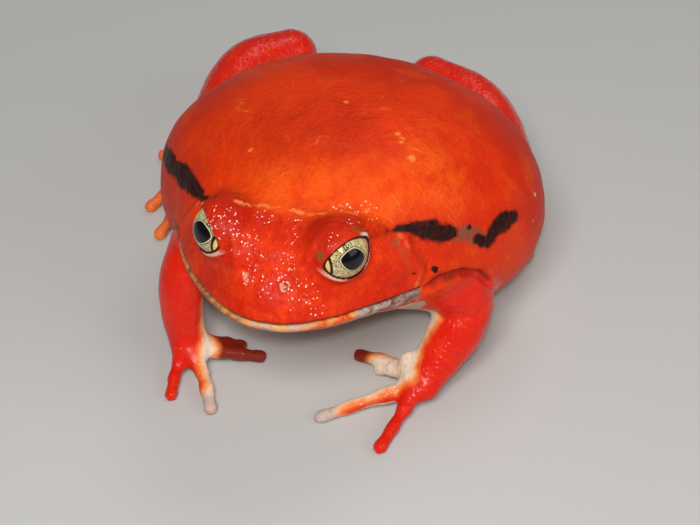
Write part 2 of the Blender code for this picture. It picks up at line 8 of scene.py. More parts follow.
import bmesh
import bpy
import numpy as np
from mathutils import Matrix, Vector


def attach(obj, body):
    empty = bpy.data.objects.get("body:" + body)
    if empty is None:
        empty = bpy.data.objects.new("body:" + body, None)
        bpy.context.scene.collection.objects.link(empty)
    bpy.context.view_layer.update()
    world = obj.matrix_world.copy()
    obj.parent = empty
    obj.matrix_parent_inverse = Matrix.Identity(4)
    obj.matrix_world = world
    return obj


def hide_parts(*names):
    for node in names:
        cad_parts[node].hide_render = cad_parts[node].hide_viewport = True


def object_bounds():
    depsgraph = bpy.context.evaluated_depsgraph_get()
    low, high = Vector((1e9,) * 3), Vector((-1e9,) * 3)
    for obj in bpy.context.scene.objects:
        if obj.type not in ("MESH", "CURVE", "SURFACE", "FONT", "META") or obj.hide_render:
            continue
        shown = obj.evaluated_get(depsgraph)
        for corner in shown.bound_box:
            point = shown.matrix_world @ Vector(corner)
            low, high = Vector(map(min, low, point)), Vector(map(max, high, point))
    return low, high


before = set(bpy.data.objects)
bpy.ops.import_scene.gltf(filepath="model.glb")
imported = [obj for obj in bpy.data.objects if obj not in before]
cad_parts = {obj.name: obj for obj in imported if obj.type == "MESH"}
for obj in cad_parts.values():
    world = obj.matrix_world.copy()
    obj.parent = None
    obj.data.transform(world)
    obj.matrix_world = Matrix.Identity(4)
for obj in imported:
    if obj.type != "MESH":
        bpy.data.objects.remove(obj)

cad_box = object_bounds()

# Trunk and head
# The body of the frog is one round bag of skin, widest behind the arms and drawn in
# towards the snout. It is lofted from upright rounded sections, and the head is turned.
MM = 0.001

# y, half width, height of the widest level, of the top and of the underside, and the
# roundness above and below
TRUNK = (
    (-53.4, 0.0, 32.0, 32.0, 32.0, 2.0, 2.0),
    (-52.8, 4.0, 31.6, 34.4, 30.0, 2.0, 2.3),
    (-51.4, 6.9, 31.2, 36.6, 28.9, 2.0, 2.4),
    (-49.0, 10.0, 30.6, 38.7, 27.8, 2.0, 2.5),
    (-46.0, 13.2, 30.0, 40.6, 26.6, 1.95, 2.5),
    (-42.0, 16.6, 29.2, 42.6, 24.9, 1.9, 2.4),
    (-37.0, 20.3, 28.1, 44.1, 22.4, 1.95, 2.3),
    (-32.0, 23.4, 26.7, 45.4, 18.8, 2.0, 2.2),
    (-26.0, 27.8, 24.6, 46.8, 13.6, 2.2, 2.2),
    (-16.0, 34.3, 23.0, 47.6, 4.6, 2.3, 2.2),
    (-5.0, 37.2, 22.5, 46.7, -1.0, 2.3, 2.1),
    (6.0, 34.9, 22.0, 44.1, -1.8, 2.2, 2.0),
    (16.0, 28.8, 20.5, 39.3, -1.2, 2.1, 1.9),
    (22.5, 20.8, 18.5, 32.6, 2.5, 2.05, 1.9),
    (25.9, 12.0, 16.8, 25.0, 7.0, 2.0, 2.0),
    (27.0, 0.0, 16.0, 16.0, 16.0, 2.0, 2.0),
)
SWING_FROM = -22.0
SWING_OVER = 22.0
SWING_ANGLE = 1.6
SWING_SHIFT = -2.1

# The right flank is drawn in a little, by this share behind where it starts.
FLANK_FROM = -14.0
FLANK_OVER = 16.0
FLANK_DRAWN = 0.05


def smooth_line(stations, values, places):
    """Cubic pieces through the stations, each slope weighed from the chords beside it."""
    x = np.asarray(stations, float)
    y = np.asarray(values, float)
    step = np.diff(x)
    chord = np.diff(y) / step
    slope = np.empty_like(y)
    slope[1:-1] = (chord[:-1] * step[1:] + chord[1:] * step[:-1]) / (step[:-1] + step[1:])
    slope[0] = chord[0]
    slope[-1] = chord[-1]
    i = np.clip(np.searchsorted(x, places) - 1, 0, len(x) - 2)
    t = (places - x[i]) / step[i]
    rise = (t**3 - 2*t**2 + t) * slope[i] + (t**3 - t**2) * slope[i + 1]
    return (2*t**3 - 3*t**2 + 1) * y[i] + (3*t**2 - 2*t**3) * y[i + 1] + step[i] * rise


def swing(points):
    """Turns and shifts what lies ahead of the shoulders, by a share that grows smoothly."""
    points = np.asarray(points, float)
    ahead = np.clip((SWING_FROM - points[..., 1]) / SWING_OVER, 0.0, 1.0)
    share = ahead**2 * (3 - 2*ahead)
    angle = math.radians(SWING_ANGLE) * share
    x = points[..., 0]
    y = points[..., 1] - SWING_FROM
    turned_x = x * np.cos(angle) - y * np.sin(angle) + SWING_SHIFT * share
    turned_y = x * np.sin(angle) + y * np.cos(angle) + SWING_FROM
    return np.stack([turned_x, turned_y, points[..., 2]], axis=-1)


def unswung(points):
    """The same points before the swing, found by taking its effect off three times over."""
    points = np.asarray(points, float)
    back = points
    for _ in range(3):
        back = back - (swing(back) - points)
    return back


def trunk_grid(rows=150, around=190):
    """Rows of superellipses set along a line that is even in length from snout to vent."""
    table = np.array(TRUNK)
    steps = np.linalg.norm(np.diff(table[:, [0, 1, 3]], axis=0), axis=1)
    travel = np.concatenate([[0.0], np.cumsum(steps)])
    places = travel[-1] * (1 - np.cos(np.linspace(0, math.pi, rows))) / 2
    y, half, side, top, under, above, below = (smooth_line(travel, column, places)[:, None]
                                               for column in table.T)
    half[0] = half[-1] = 0.0
    angle = np.linspace(0, 2 * math.pi, around, endpoint=False)[None, :]
    cosine, sine = np.cos(angle), np.sin(angle)
    power = np.where(sine > 0, above, below)
    x = half * np.sign(cosine) * np.abs(cosine)**(2 / power)
    drawn = np.clip((y - FLANK_FROM) / FLANK_OVER, 0.0, 1.0)
    x = np.where(x < 0, x * (1 - FLANK_DRAWN * drawn**2 * (3 - 2*drawn)), x)
    reach = np.where(sine > 0, top - side, side - under)
    z = side + reach * np.sign(sine) * np.abs(sine)**(2 / power)
    return swing(np.stack([x, y + 0 * x, np.maximum(z, 0.0)], axis=-1))


def ball_grid(centre, sizes, rings=40, around=60):
    """An ellipsoid with its poles up and down."""
    tilt = np.linspace(-math.pi / 2, math.pi / 2, rings)[:, None]
    turn = np.linspace(0, 2 * math.pi, around, endpoint=False)[None, :]
    shape = np.stack([np.cos(tilt) * np.cos(turn), np.cos(tilt) * np.sin(turn),
                      np.sin(tilt) + 0 * turn], axis=-1)
    return np.array(centre) + shape * np.array(sizes)


forms = [trunk_grid()]

# Brows
# Over each eye the skin swells into a smooth mound. The mound is a ball round the eye,
# and a wider and flatter one carries it down to the crown of the head.
EYE = (10.2, -41.0, 41.2)
EYE_RADIUS = 5.2
BROW = (6.4, 7.0, 6.0)
BROW_FOOT = (8.6, 10.0, 4.6)
BROW_FOOT_SHIFT = (0.0, 1.0, -1.6)
CROWN = (0.0, -39.5, 39.9)
CROWN_SIZE = (12.0, 8.0, 4.4)

for side in (1.0, -1.0):
    forms.append(swing(ball_grid(np.array(EYE) * [side, 1, 1], BROW)))
    forms.append(swing(ball_grid((np.array(EYE) + BROW_FOOT_SHIFT) * [side, 1, 1], BROW_FOOT)))
forms.append(swing(ball_grid(CROWN, CROWN_SIZE)))

# Arms and hands
# The stout arms are bent at the elbow and stand on the hands. Each is a tube of muscle
# along a bent line, with a soft palm and four blunt fingers swollen at their joints.
ARM_LEFT = (
    (17.0, -23.6, 22.5, 5.8, 6.0), (23.4, -22.8, 21.6, 5.7, 5.8), (27.6, -21.7, 17.2, 5.0, 5.1),
    (26.4, -24.6, 11.8, 5.1, 4.8), (24.0, -28.6, 7.4, 4.4, 4.1), (22.2, -31.8, 4.9, 4.0, 3.0),
)
ARM_RIGHT = (
    (-17.0, -23.6, 22.0, 5.8, 6.0), (-22.2, -27.0, 21.6, 5.3, 5.6), (-24.4, -31.2, 17.2, 4.5, 4.8),
    (-24.3, -33.4, 11.8, 4.1, 4.2), (-23.6, -34.4, 7.4, 3.8, 3.7), (-22.4, -35.6, 4.9, 3.8, 3.0),
)
PALM_LEFT = (22.0, -32.9, 4.0)
PALM_RIGHT = (-21.9, -36.3, 4.0)
PALM_SIZE = (4.1, 3.9, 2.6)
HEEL_LEFT = (19.6, -29.8, 5.8)     # the ball of the left thumb, turned up at the wrist
HEEL_SIZE = (2.6, 2.2, 2.8)
FINGERS_LEFT = (
    ((21.0, -31.8, 4.0), (16.8, -30.0, 3.2), (13.2, -28.8, 1.4)),
    ((21.0, -31.4, 3.8), (15.0, -28.0, 2.7), (8.4, -26.2, 1.0)),
    ((21.5, -33.5, 3.6), (15.3, -37.0, 2.5), (6.0, -43.5, 1.0)),
    ((21.6, -33.6, 3.6), (20.5, -38.8, 2.5), (18.6, -47.4, 1.0)),
)
FINGERS_RIGHT = (
    ((-21.0, -35.0, 4.0), (-17.6, -32.8, 3.0), (-14.0, -30.2, 1.0)),
    ((-21.0, -35.6, 3.8), (-15.8, -34.2, 2.7), (-9.6, -32.0, 1.0)),
    ((-21.4, -36.6, 3.6), (-18.3, -40.4, 2.5), (-14.0, -47.4, 1.0)),
    ((-22.4, -36.6, 3.6), (-23.1, -40.4, 2.5), (-22.3, -46.2, 1.0)),
)
FINGER_RADII = (2.0, 1.45, 1.2)
FINGER_JOINTS = 3
JOINT_SWELLING = 0.09            # share of the radius that a finger joint stands out


def tube_grid(path, rings=60, around=40, cap_rings=10, joints=0, swelling=0.0):
    """A tube with round ends along a smooth path of x, y, z, half width, half height.

    The sideways direction starts level at the far end and is carried back without a twist.
    The radius swells by a cosine wave that has its crests at the joints.
    """
    path = np.array(path)
    steps = np.linalg.norm(np.diff(path[:, :3], axis=0), axis=1)
    travel = np.concatenate([[0.0], np.cumsum(steps)])
    places = np.linspace(0, travel[-1], rings)
    line = np.stack([smooth_line(travel, column, places) for column in path.T], axis=1)
    wave = np.cos(2 * math.pi * joints * np.linspace(0, 1, rings))
    line[:, 3:] *= 1 + swelling * wave[:, None]
    forward = np.gradient(line[:, :3], axis=0)
    forward /= np.linalg.norm(forward, axis=1, keepdims=True)
    side = np.empty_like(forward)
    side[-1] = np.cross(forward[-1], (0.0, 0.0, 1.0))
    for i in range(rings - 2, -1, -1):
        side[i] = side[i + 1] - forward[i] * (side[i + 1] @ forward[i])
    side /= np.linalg.norm(side, axis=1, keepdims=True)
    over = np.cross(side, forward)
    turn = np.linspace(0, math.pi / 2, cap_rings, endpoint=False)
    ends = np.concatenate([-np.cos(turn), np.zeros(rings), np.cos(turn[::-1])])
    shrink = np.concatenate([np.sin(turn), np.ones(rings), np.sin(turn[::-1])])
    row = np.concatenate([np.zeros(cap_rings, int), np.arange(rings),
                          np.full(cap_rings, rings - 1)])
    centre = line[row, :3] + forward[row] * (ends * line[row, 3])[:, None]
    angle = np.linspace(0, 2 * math.pi, around, endpoint=False)[None, :, None]
    across = (line[row, 3] * shrink)[:, None, None] * np.cos(angle) * side[row][:, None]
    upward = (line[row, 4] * shrink)[:, None, None] * np.sin(angle) * over[row][:, None]
    return centre[:, None] + across + upward


def digit_grid(line, radii, joints):
    """A finger or toe: a tube with swollen joints, flat where it goes below the floor."""
    grid = tube_grid([(*point, radius, radius) for point, radius in zip(line, radii)],
                     rings=50, around=28, joints=joints, swelling=JOINT_SWELLING)
    grid[..., 2] = np.maximum(grid[..., 2], 0.0)
    return grid


for arm, palm, fingers in ((ARM_LEFT, PALM_LEFT, FINGERS_LEFT),
                           (ARM_RIGHT, PALM_RIGHT, FINGERS_RIGHT)):
    forms += [tube_grid(arm), ball_grid(palm, PALM_SIZE)]
    forms += [digit_grid(finger, FINGER_RADII, FINGER_JOINTS) for finger in fingers]
forms.append(ball_grid(HEEL_LEFT, HEEL_SIZE))

# Hind legs and feet
# The hind legs are folded flat at the flanks: a thick thigh, a shank that lies against it
# and shows as a shiny lump behind the back, and a long foot whose toes point forwards.
THIGH_LEFT = (
    (11.5, 17.0, 10.5, 7.6, 8.2), (19.5, 13.0, 10.4, 7.9, 8.2), (27.0, 8.0, 10.6, 6.4, 6.8),
)
THIGH_RIGHT = (
    (-12.0, 16.5, 10.5, 7.6, 8.2), (-22.5, 11.0, 10.4, 7.9, 8.2), (-31.6, 5.0, 10.6, 6.4, 6.8),
)
SHANK_LEFT = (
    (26.6, 9.6, 12.4, 6.2, 6.4), (23.2, 21.8, 15.2, 6.4, 6.9), (15.2, 32.2, 17.4, 6.4, 7.0),
    (4.6, 37.0, 18.0, 5.4, 6.2),
)
SHANK_RIGHT = (
    (-31.6, 6.6, 12.2, 6.2, 6.4), (-33.8, 18.8, 15.8, 6.5, 7.0), (-31.8, 29.6, 18.4, 6.6, 7.0),
    (-25.7, 36.6, 18.5, 5.6, 6.2),
)
TARSUS_LEFT = (
    (4.4, 36.4, 10.0, 4.4, 4.6), (8.0, 33.6, 5.6, 4.0, 3.9), (16.0, 27.4, 3.8, 3.7, 3.4),
    (22.5, 21.0, 3.0, 4.4, 2.8),
)
TARSUS_RIGHT = (
    (-24.6, 36.4, 11.0, 4.4, 4.6), (-27.6, 32.6, 6.2, 4.0, 3.9), (-33.0, 25.0, 3.9, 3.7, 3.4),
    (-36.4, 16.4, 3.0, 4.4, 2.8),
)
TOES_LEFT = (
    ((21.6, 20.6, 3.0), (23.0, 16.0, 2.2), (23.6, 11.0, 1.0)),
    ((22.4, 20.4, 3.0), (24.8, 14.2, 2.2), (26.6, 7.4, 1.0)),
    ((23.0, 20.4, 3.0), (26.8, 13.0, 2.2), (29.8, 4.8, 1.0)),
    ((23.4, 20.8, 3.0), (28.4, 16.2, 2.2), (32.4, 10.6, 1.0)),
    ((23.4, 21.8, 3.0), (28.0, 20.2, 2.2), (32.2, 17.6, 1.0)),
)
TOES_RIGHT = (
    ((-34.8, 15.6, 3.0), (-33.0, 11.2, 2.2), (-31.0, 5.8, 1.0)),
    ((-35.6, 15.2, 3.0), (-34.8, 8.6, 2.2), (-33.8, 0.6, 1.0)),
    ((-36.6, 15.0, 3.0), (-38.4, 6.2, 2.2), (-40.2, -5.2, 1.0)),
    ((-37.4, 15.2, 3.0), (-41.4, 9.4, 2.2), (-45.0, 2.2, 1.0)),
    ((-37.6, 16.4, 3.0), (-43.0, 17.4, 2.2), (-48.2, 18.2, 1.0)),
)
TOE_RADII = (2.0, 1.5, 1.25)
TOE_JOINTS = 4

for thigh, shank, tarsus, toes in ((THIGH_LEFT, SHANK_LEFT, TARSUS_LEFT, TOES_LEFT),
                                   (THIGH_RIGHT, SHANK_RIGHT, TARSUS_RIGHT, TOES_RIGHT)):
    forms += [tube_grid(thigh), tube_grid(shank), tube_grid(tarsus)]
    forms += [digit_grid(toe, TOE_RADII, TOE_JOINTS) for toe in toes]

# One skin
# A frog has one whole skin. The forms above are sunk into each other, so they are taken
# as one volume, skinned afresh, and the hollows between them are drawn smooth.
VOXEL = 0.63
SHOULDERS = ((20.5, -24.0, 22.0), (-20.0, -26.0, 22.0))
HIPS = ((22.0, 20.0, 17.0), (-30.0, 16.0, 18.0))
WRISTS = ((22.6, -32.2, 4.2), (-22.2, -36.0, 4.2))
ANKLES = ((22.8, 21.0, 3.4), (-36.4, 16.6, 3.4))
CROWN_MIDDLE = (-1.4, -41.0, 44.0)
DRAW_IN = 0.5                    # shares of the way to the mean of the neighbours
PUSH_OUT = -0.52
SOFTENING_ROUNDS = 30


def shell(grid):
    """Points and faces of a closed shell. Its end rings are points, quads join the rest."""
    rings, around = grid.shape[:2]
    middle = grid[1:-1].reshape(-1, 3)
    points = np.concatenate([grid[:1].mean(axis=1), middle, grid[-1:].mean(axis=1)])
    here = np.arange(around)
    beside = np.roll(here, -1)
    row = 1 + np.arange(rings - 3)[:, None] * around
    quads = np.stack([row + here, row + beside, row + around + beside, row + around + here], axis=-1)
    quads = quads.reshape(-1, 4)
    last = 1 + (rings - 3) * around
    near = np.stack([0 * here, 1 + beside, 1 + here], axis=-1)
    far = np.stack([last + here, last + beside, 0 * here + len(points) - 1], axis=-1)
    corner = points[quads]
    volume = np.einsum("ij,ij->i", corner[:, 0], np.cross(corner[:, 1], corner[:, 2])).sum()
    faces = near.tolist() + quads.tolist() + far.tolist()
    if volume < 0:
        faces = [face[::-1] for face in faces]
    return points, faces


def new_object(name, points, faces):
    """An object in the scene with a mesh of its own, both of one name."""
    mesh = bpy.data.meshes.new(name)
    mesh.from_pydata(np.asarray(points).tolist(), [], faces)
    made = bpy.data.objects.new(name, mesh)
    bpy.context.scene.collection.objects.link(made)
    return made


def points_of(mesh):
    """Places of a mesh's points as one array."""
    places = np.empty(len(mesh.vertices) * 3)
    mesh.vertices.foreach_get("co", places)
    return places.reshape(-1, 3)


def set_points(mesh, points):
    mesh.vertices.foreach_set("co", np.asarray(points, float).ravel())
    mesh.update()


def edges_of(mesh):
    pairs = np.empty(len(mesh.edges) * 2, int)
    mesh.edges.foreach_get("vertices", pairs)
    return pairs.reshape(-1, 2)


def relaxed(points, pairs, share, rounds):
    """Points drawn towards the mean of their neighbours, by a share, round after round."""
    count = np.bincount(pairs.ravel(), minlength=len(points))
    share = np.broadcast_to(share, (len(points),))[:, None]
    for _ in range(rounds):
        total = np.stack([np.bincount(pairs[:, 0], points[pairs[:, 1], k], len(points))
                          + np.bincount(pairs[:, 1], points[pairs[:, 0], k], len(points))
                          for k in range(3)], axis=1)
        points = points + share * (total / count[:, None] - points)
    return points


def smoothed(points, pairs, rounds):
    """Points evened out without shrinking: each round draws them in and pushes them out."""
    for _ in range(rounds):
        points = relaxed(points, pairs, DRAW_IN, 1)
        points = relaxed(points, pairs, PUSH_OUT, 1)
    return points


def smooth_step(low, high, values):
    """0 at low and before it, 1 at high and beyond, and an S-shaped rise between them."""
    t = np.clip((values - low) / (high - low), 0.0, 1.0)
    return t * t * (3 - 2 * t)


def near_any(points, places, full, none):
    """1 within a distance of any of the places, falling to 0 at a larger distance."""
    away = np.min([np.linalg.norm(points - np.array(place), axis=1) for place in places], axis=0)
    return 1 - smooth_step(full, none, away)


all_points, all_faces, start = [], [], 0
for form in forms:
    form_points, form_faces = shell(form)
    all_points.append(form_points)
    all_faces += [[index + start for index in face] for face in form_faces]
    start += len(form_points)
skin = new_object("skin", np.concatenate(all_points), all_faces)
remesh = skin.modifiers.new("one_volume", "REMESH")
remesh.mode = "VOXEL"
remesh.voxel_size = VOXEL
skin.data = bpy.data.meshes.new_from_object(skin.evaluated_get(bpy.context.evaluated_depsgraph_get()))
skin.modifiers.clear()

pairs = edges_of(skin.data)
points = smoothed(points_of(skin.data), pairs, 6)
brow_places = [swing([side * EYE[0] * 0.8, EYE[1] + 2.0, EYE[2]]) for side in (1.0, -1.0)]

# places, share of softening there, and the distances at which it is full and has ended
soft_places = ((SHOULDERS, 0.5, 5.0, 11.0), (HIPS, 0.6, 4.0, 14.0),
               (WRISTS + ANKLES, 0.5, 3.0, 7.0), (brow_places, 0.8, 6.0, 13.0),
               ([CROWN_MIDDLE], 1.0, 5.0, 11.0))
soft = np.max([share * near_any(points, places, full, none)
               for places, share, full, none in soft_places], axis=0)
points = relaxed(points, pairs, DRAW_IN * soft, SOFTENING_ROUNDS)
points[:, 2] = np.maximum(points[:, 2], 0.0)
set_points(skin.data, points)

# Finer skin on the face
# Lids, nostrils and lips are the finest forms on the frog, so the skin there is divided
# into smaller faces before they are drawn into it.
GAZE = (0.80, -0.56, 0.20)
LID_OPENING = (4.6, 3.5)
LID_POWER = 1.8
NOSTRILS = ((3.3, -49.5, 38.5), (-3.9, -49.3, 38.7))
MOUTH_FRONT = (-53.4, 32.6)
MOUTH_CORNER = (-30.0, 28.0)
MOUTH_END = (0.82, 0.89)         # share of the way to the corner at which the slit fades out
MOUTH_REAR = -27.0
FINE_BANDS = ((0.6, 1.9, 2.3), (0.22, 0.55, 1.3))   # at lids, lips and nostrils, in two rounds
FAR = 9.0                        # stands for a measure that is out of reach


def gaze_frame(side):
    """The eye's outward direction, and directions along and across the lids."""
    out = np.array([side * GAZE[0], GAZE[1], GAZE[2]])
    out /= np.linalg.norm(out)
    along = np.cross((0.0, 0.0, 1.0), out)
    along /= np.linalg.norm(along)
    return out, along, np.cross(out, along)


def eye_centre(side):
    return swing([side * EYE[0], EYE[1], EYE[2]])


def lid_measure(points, side):
    """How far out of the lid opening a direction from the eye lies: 1 on the lids' edge.

    Gives with it the distance from the eye, and the share of the ray along and across.
    """
    out, along, across = gaze_frame(side)
    ray = points - eye_centre(side)
    length = np.linalg.norm(ray, axis=1)
    ray = ray / length[:, None]
    width = np.abs(ray @ along) * EYE_RADIUS / LID_OPENING[0]
    height = np.abs(ray @ across) * EYE_RADIUS / LID_OPENING[1]
    measure = (width**LID_POWER + height**LID_POWER)**(1 / LID_POWER)
    return np.where(ray @ out > 0.1, measure, FAR), length, ray @ along * side, ray @ across


def mouth_offset(points):
    """Height above the mouth line, and how much of a mouth there is at that place."""
    level = unswung(points)
    share = (level[:, 1] - MOUTH_FRONT[0]) / (MOUTH_CORNER[0] - MOUTH_FRONT[0])
    height = level[:, 2] - (MOUTH_FRONT[1] + share * (MOUTH_CORNER[1] - MOUTH_FRONT[1]))
    return height, (1 - smooth_step(*MOUTH_END, share)) * (level[:, 1] < MOUTH_REAR)


def divided(mesh, chosen):
    """The mesh with every face whose points are all chosen cut into four."""
    shape = bmesh.new()
    shape.from_mesh(mesh)
    shape.verts.ensure_lookup_table()
    faces = [face for face in shape.faces if all(chosen[vertex.index] for vertex in face.verts)]
    edges = list({edge for face in faces for edge in face.edges})
    bmesh.ops.subdivide_edges(shape, edges=edges, cuts=1, use_grid_fill=True)
    many_sided = [face for face in shape.faces if len(face.verts) > 4]
    bmesh.ops.triangulate(shape, faces=many_sided, ngon_method="BEAUTY")
    shape.to_mesh(mesh)
    shape.free()


def face_detail(points, lid_band, lip_band, nostril_band):
    """Chooses the points round the lids, along the lips and round the nostrils."""
    chosen = np.zeros(len(points), bool)
    for side in (1.0, -1.0):
        measure, length, _, _ = lid_measure(points, side)
        chosen |= (np.abs(measure - 1.0) < lid_band) & (length < EYE_RADIUS + 3)
    for nostril in NOSTRILS:
        chosen |= np.linalg.norm(points - swing(nostril), axis=1) < nostril_band
    height, mouth = mouth_offset(points)
    return chosen | (np.abs(height) < lip_band) & (mouth > 0)


for bands in FINE_BANDS:
    divided(skin.data, face_detail(points_of(skin.data), *bands))
pairs = edges_of(skin.data)
points = smoothed(points_of(skin.data), pairs, 5)
points[:, 2] = np.maximum(points[:, 2], 0.0)
set_points(skin.data, points)

# Folds and swellings
# The loose skin has soft dimples over the whole body, a wavy fold across the head behind
# the eyes, an arched fold round each eardrum, and a deep crease above each shoulder.
HEAD_FOLD = ((-13.5, -38.5, 46.0), (-11.4, -39.4, 47.0), (-9.4, -39.2, 46.5), (-7.7, -38.9, 45.4),
             (-6.2, -37.0, 43.6), (-3.9, -36.7, 44.0), (-1.2, -36.8, 44.2), (1.3, -37.1, 43.9),
             (3.5, -36.6, 43.6), (6.3, -35.6, 44.4), (9.0, -34.0, 43.3), (11.0, -34.2, 43.1),
             (12.6, -35.1, 43.1), (14.0, -35.7, 42.8))
BROW_CREASE = ((5.2, -39.6, 46.0), (7.6, -39.5, 47.0), (9.9, -38.6, 46.8), (11.7, -37.6, 45.8),
               (13.3, -38.2, 44.8))
EAR_ARC = ((17.1, -31.4, 39.0), (18.8, -32.3, 38.7), (20.4, -33.3, 37.3), (21.4, -33.0, 34.4),
           (21.1, -32.6, 31.8), (21.0, -33.5, 29.7))
EAR_CREASE_SHIFT = (1.0, 1.0, 0.3)
EAR = (18.2, -34.4, 35.4)
EAR_SIZE = (2.6, 3.2)
EAR_DEPTH = 4.0
SHOULDER_CREASES = (
    ((21.4, -33.4, 28.6), (22.3, -32.1, 28.0), (23.7, -30.5, 28.7), (25.2, -28.4, 28.6),
     (26.6, -26.8, 28.4), (28.0, -25.1, 27.3), (29.7, -23.2, 25.5), (30.8, -21.4, 22.7),
     (31.4, -20.8, 19.5)),
    ((-22.6, -33.6, 28.4), (-24.2, -30.8, 28.4), (-26.2, -28.2, 26.8), (-28.0, -26.0, 24.0),
     (-29.0, -25.0, 20.0)),
)
ELBOW_CREASE = ((24.0, -25.8, 15.0), (24.7, -26.3, 15.5), (27.6, -26.8, 17.1), (30.1, -26.0, 17.6),
                (32.1, -24.0, 17.1))

# bumps and hollows of each fold: height, half width and distance from its line
HEAD_FORM = ((0.26, 1.3, 0.0), (-0.10, 0.4, 0.0))
BROW_FORM = ((-0.34, 0.6, 0.0),)
EAR_FORM = ((0.55, 1.2, 0.0), (-0.25, 0.6, 2.1))
DRUM_FORM = ((0.25, 0.8, 0.0), (-0.14, 0.22, 1.1))
SHOULDER_FORM = ((0.55, 2.4, 0.0), (-1.5, 0.75, 0.0))
ELBOW_FORM = ((-0.35, 0.5, 0.0),)

DIMPLES = ((0.20, 7.0, 1), (0.10, 3.4, 2), (0.05, 1.7, 3))     # depth, spacing, random seed
LATTICE = 32                     # random values along each side of the noise table


def normals_of(mesh):
    """Directions in which the surface faces at a mesh's points, as one array."""
    directions = np.empty(len(mesh.vertices) * 3)
    mesh.vertex_normals.foreach_get("vector", directions)
    return directions.reshape(-1, 3)


def lattice_noise(points, size, seed):
    """Smooth random values in -1..1, one new value every size, blended between corners."""
    table = np.random.RandomState(seed).uniform(-1, 1, (LATTICE, LATTICE, LATTICE))
    place = points / size + 100.0
    cell = np.floor(place).astype(int)
    t = place - cell
    t = t * t * (3 - 2 * t)
    value = 0.0
    for corner in np.ndindex(2, 2, 2):
        weight = np.prod([t[:, k] if corner[k] else 1 - t[:, k] for k in range(3)], axis=0)
        i, j, k = ((cell[:, axis] + corner[axis]) % LATTICE for axis in range(3))
        value = value + weight * table[i, j, k]
    return value


def nearest(points, places):
    """The skin point nearest to each of the places."""
    return points[[np.argmin(((points - np.array(place))**2).sum(axis=1)) for place in places]]


def on_skin(points, line, spacing=0.8):
    """A smooth line through the given places in short steps, each at the nearest skin point."""
    line = np.asarray(line, float)
    travel = np.concatenate([[0.0], np.cumsum(np.linalg.norm(np.diff(line, axis=0), axis=1))])
    places = np.linspace(0, travel[-1], int(travel[-1] / spacing) + 2)
    steps = np.stack([smooth_line(travel, column, places) for column in line.T], axis=1)
    snapped = nearest(points, steps)
    snapped[1:-1] = (snapped[:-2] + 2 * snapped[1:-1] + snapped[2:]) / 4
    return snapped


def along_line(points, line):
    """Distance from a bent line, and how far along it the nearest place lies, as 0..1."""
    line = np.asarray(line, float)
    steps = np.diff(line, axis=0)
    lengths = np.maximum(np.linalg.norm(steps, axis=1), 1e-6)
    total = lengths.sum()
    before = np.concatenate([[0.0], np.cumsum(lengths)])[:-1]
    best = np.full(len(points), np.inf)
    share = np.zeros(len(points))
    for origin, step, length, start in zip(line, steps, lengths, before):
        t = np.clip(((points - origin) @ step) / length**2, 0.0, 1.0)
        away = np.linalg.norm(points - origin - t[:, None] * step, axis=1)
        closer = away < best
        best = np.where(closer, away, best)
        share = np.where(closer, (start + t * length) / total, share)
    return best, share


def mound(distance, width):
    """A bell-shaped bump, 1 on the line and fading over the width."""
    return np.exp(-(distance / width)**2)


def mounds(distance, form):
    """Bell-shaped bumps added up, each of a height and a width and at a distance."""
    return sum(height * mound(distance - place, width) for height, width, place in form)


def both_sides(line):
    """A line, and the same line on the other side of the turned head."""
    line = np.asarray(line, float)
    return line, swing(unswung(line) * [-1, 1, 1])


def taper(share):
    """1 along most of a line, falling to 0 at both of its ends."""
    return smooth_step(0.0, 0.15, share) * smooth_step(1.0, 0.85, share)


dimples = sum(depth * lattice_noise(points, size, seed) for depth, size, seed in DIMPLES)
lift = dimples * smooth_step(0.2, 2.0, points[:, 2])
lift *= 1 - 0.7 * near_any(points, brow_places + [CROWN_MIDDLE], 5.0, 10.0)
head_fold = on_skin(points, HEAD_FOLD)
ear_arcs = [on_skin(points, arc) for arc in both_sides(EAR_ARC)]
folds = [(head_fold, HEAD_FORM)] + [(arc, EAR_FORM) for arc in ear_arcs]
folds += [(on_skin(points, crease), BROW_FORM) for crease in both_sides(BROW_CREASE)]
folds += [(on_skin(points, crease), SHOULDER_FORM) for crease in SHOULDER_CREASES]
folds.append((on_skin(points, ELBOW_CREASE), ELBOW_FORM))
for line, form in folds:
    away, share = along_line(points, line)
    lift += taper(share) * mounds(away, form)
for drum in both_sides(EAR):
    offset = points - drum
    oval = np.sqrt((offset[:, 1] / EAR_SIZE[0])**2 + (offset[:, 2] / EAR_SIZE[1])**2)
    lift += (np.abs(offset[:, 0]) < EAR_DEPTH) * mounds(oval, DRUM_FORM)
points = points + normals_of(skin.data) * lift[:, None]
points[:, 2] = np.maximum(points[:, 2], 0.0)
set_points(skin.data, points)

# Lips and mouth
# The wide mouth is a closed slit from one corner round to the other, with a thin upper
# lip and a rounded paler band below it. It is pressed into the skin along a level line.
# the slit, the upper lip, the lower lip and the hollow under it: height, half width, level
LIP_FORM = ((-0.75, 0.24, 0.0), (0.20, 0.6, 0.85), (0.26, 0.7, -0.95), (-0.22, 0.9, -2.8))

height, mouth = mouth_offset(points)
points = points + normals_of(skin.data) * (mounds(height, LIP_FORM) * mouth)[:, None]

# Nostrils
# Two small slits stand high on the snout, each in a low and uneven ring of skin.
NOSTRIL_FACING = (0.45, -0.55, 0.70)
NOSTRIL_STRETCH = 1.25           # length of the slit to its width
NOSTRIL_WIDTH = 0.32
PIT_DEPTH = 0.60
RING_HEIGHT = 0.20
RING_RADIUS = 0.72

